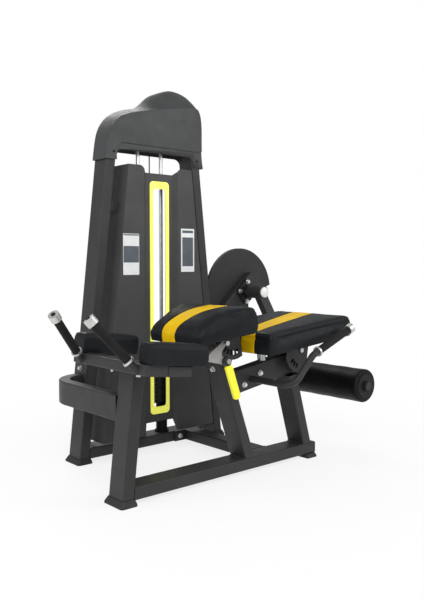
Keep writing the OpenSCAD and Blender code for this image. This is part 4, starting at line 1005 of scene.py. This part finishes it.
def vinyl_floor():
    # Matt white vinyl: seen directly it is nearly the white of the background, and it keeps the shadow.
    material = bpy.data.materials.new("White vinyl floor")
    material.use_nodes = True
    tree = material.node_tree
    tree.nodes.clear()
    path = add(tree, "ShaderNodeLightPath").outputs
    seen = calc(tree, "MAXIMUM", path["Is Camera Ray"], path["Is Glossy Ray"])
    seen = calc(tree, "MAXIMUM", seen, path["Is Transmission Ray"])
    place = add(tree, "ShaderNodeTexCoord").outputs["Object"]
    away = calc(tree, "DISTANCE", place, (0.6, 0.3, 0.0), kind="ShaderNodeVectorMath")
    fade = ranged(tree, away, 0.6, 2.2, 0.8, 1.0, interpolation_type="SMOOTHSTEP")
    matt = add(tree, "ShaderNodeBsdfDiffuse", {"Color": linear("#f0f0f0")})
    white = add(tree, "ShaderNodeEmission", {"Color": (1.0, 1.0, 1.0, 1.0), "Strength": 1.0})
    both = add(tree, "ShaderNodeMixShader", {0: calc(tree, "MULTIPLY", seen, fade), 1: matt.outputs["BSDF"],
                                             2: white.outputs["Emission"]})
    add(tree, "ShaderNodeOutputMaterial", {"Surface": both.outputs["Shader"]})
    return material


def studio():
    """A white background that lights the scene at half its brightness."""
    world = bpy.data.worlds.new("Studio")
    world.use_nodes = True
    tree = world.node_tree
    tree.nodes.clear()
    path = add(tree, "ShaderNodeLightPath").outputs
    seen = calc(tree, "MAXIMUM", path["Is Camera Ray"], path["Is Transmission Ray"])
    level = ranged(tree, seen, 0.0, 1.0, 0.5, 1.0)
    sky = add(tree, "ShaderNodeBackground", {"Color": (1.0, 1.0, 1.0, 1.0), "Strength": level})
    add(tree, "ShaderNodeOutputWorld", {"Surface": sky.outputs["Background"]})
    return world


class MACHINE_OT_stage(bpy.types.Operator):
    """Sets up the floor, the lamps and the camera"""

    bl_idname = "machine.stage"
    bl_label = "Stage"

    def execute(self, context):
        scene = context.scene
        stage = scene.machine_stage
        shape = bmesh.new()
        bmesh.ops.create_grid(shape, x_segments=1, y_segments=1, size=14.0,
                              matrix=Matrix.Translation((0.6, 0.3, -0.0005)))
        floor = link("floor", meshed("floor", shape))
        floor.data.materials.append(vinyl_floor())
        scene.world = studio()
        target = Vector((0.6, 0.25, 0.8))
        for name, place, size, power in LAMPS:
            lamp = bpy.data.lights.new(name, "AREA")
            lamp.shape = "DISK"
            lamp.size = size
            lamp.energy = power
            lit = link(name, lamp)
            lit.location = place
            lit.rotation_euler = (target - Vector(place)).to_track_quat("-Z", "Y").to_euler()
        camera = bpy.data.cameras.new("camera")
        camera.sensor_fit = "VERTICAL"
        camera.sensor_height = 36.0
        camera.lens = stage.lens
        view = link("camera", camera)
        view.location = stage.eye
        ahead = math.cos(stage.pitch)
        aim = Vector((math.sin(stage.heading) * ahead, math.cos(stage.heading) * ahead,
                      -math.sin(stage.pitch)))
        view.rotation_euler = aim.to_track_quat("-Z", "Y").to_euler()
        scene.camera = view
        scene.view_settings.view_transform = "Standard"
        return {"FINISHED"}


OPERATORS = (MACHINE_OT_finishes, MACHINE_OT_hood, MACHINE_OT_seat_pad, MACHINE_OT_back_pad,
             MACHINE_OT_elbow_pads, MACHINE_OT_roller, MACHINE_OT_cable_drop, MACHINE_OT_lever,
             MACHINE_OT_plates, MACHINE_OT_screws, MACHINE_OT_welds, MACHINE_OT_stage)
GROUPS = {"machine_finishes": MachineFinishes, "machine_pads": MachinePads, "machine_trim": MachineTrim,
          "machine_stage": MachineStage}


class MACHINE_PT_sidebar(bpy.types.Panel):
    """Lists the steps that dress the machine"""

    bl_label = "Leg Extension Machine"
    bl_idname = "MACHINE_PT_sidebar"
    bl_space_type = "VIEW_3D"
    bl_region_type = "UI"
    bl_category = "Machine"

    def draw(self, context):
        for name, group in GROUPS.items():
            box = self.layout.box()
            for field in group.__annotations__:
                box.prop(getattr(context.scene, name), field)
        for operator in OPERATORS:
            self.layout.operator(operator.bl_idname)


def register():
    for group in GROUPS.values():
        bpy.utils.register_class(group)
    for name, group in GROUPS.items():
        setattr(bpy.types.Scene, name, bpy.props.PointerProperty(type=group))
    for part in (*OPERATORS, MACHINE_PT_sidebar):
        bpy.utils.register_class(part)


def unregister():
    for part in (MACHINE_PT_sidebar, *reversed(OPERATORS)):
        bpy.utils.unregister_class(part)
    for name in GROUPS:
        delattr(bpy.types.Scene, name)
    for group in reversed(list(GROUPS.values())):
        bpy.utils.unregister_class(group)


def main():
    register()
    bpy.ops.machine.finishes()
    bpy.ops.machine.stage()
    bpy.ops.machine.hood()
    bpy.ops.machine.seat_pad()
    bpy.ops.machine.back_pad()
    bpy.ops.machine.elbow_pads()
    bpy.ops.machine.roller()
    bpy.ops.machine.cable_drop()
    bpy.ops.machine.lever()
    bpy.ops.machine.plates()
    bpy.ops.machine.screws()
    bpy.ops.machine.welds()


if __name__ == "__main__":
    main()
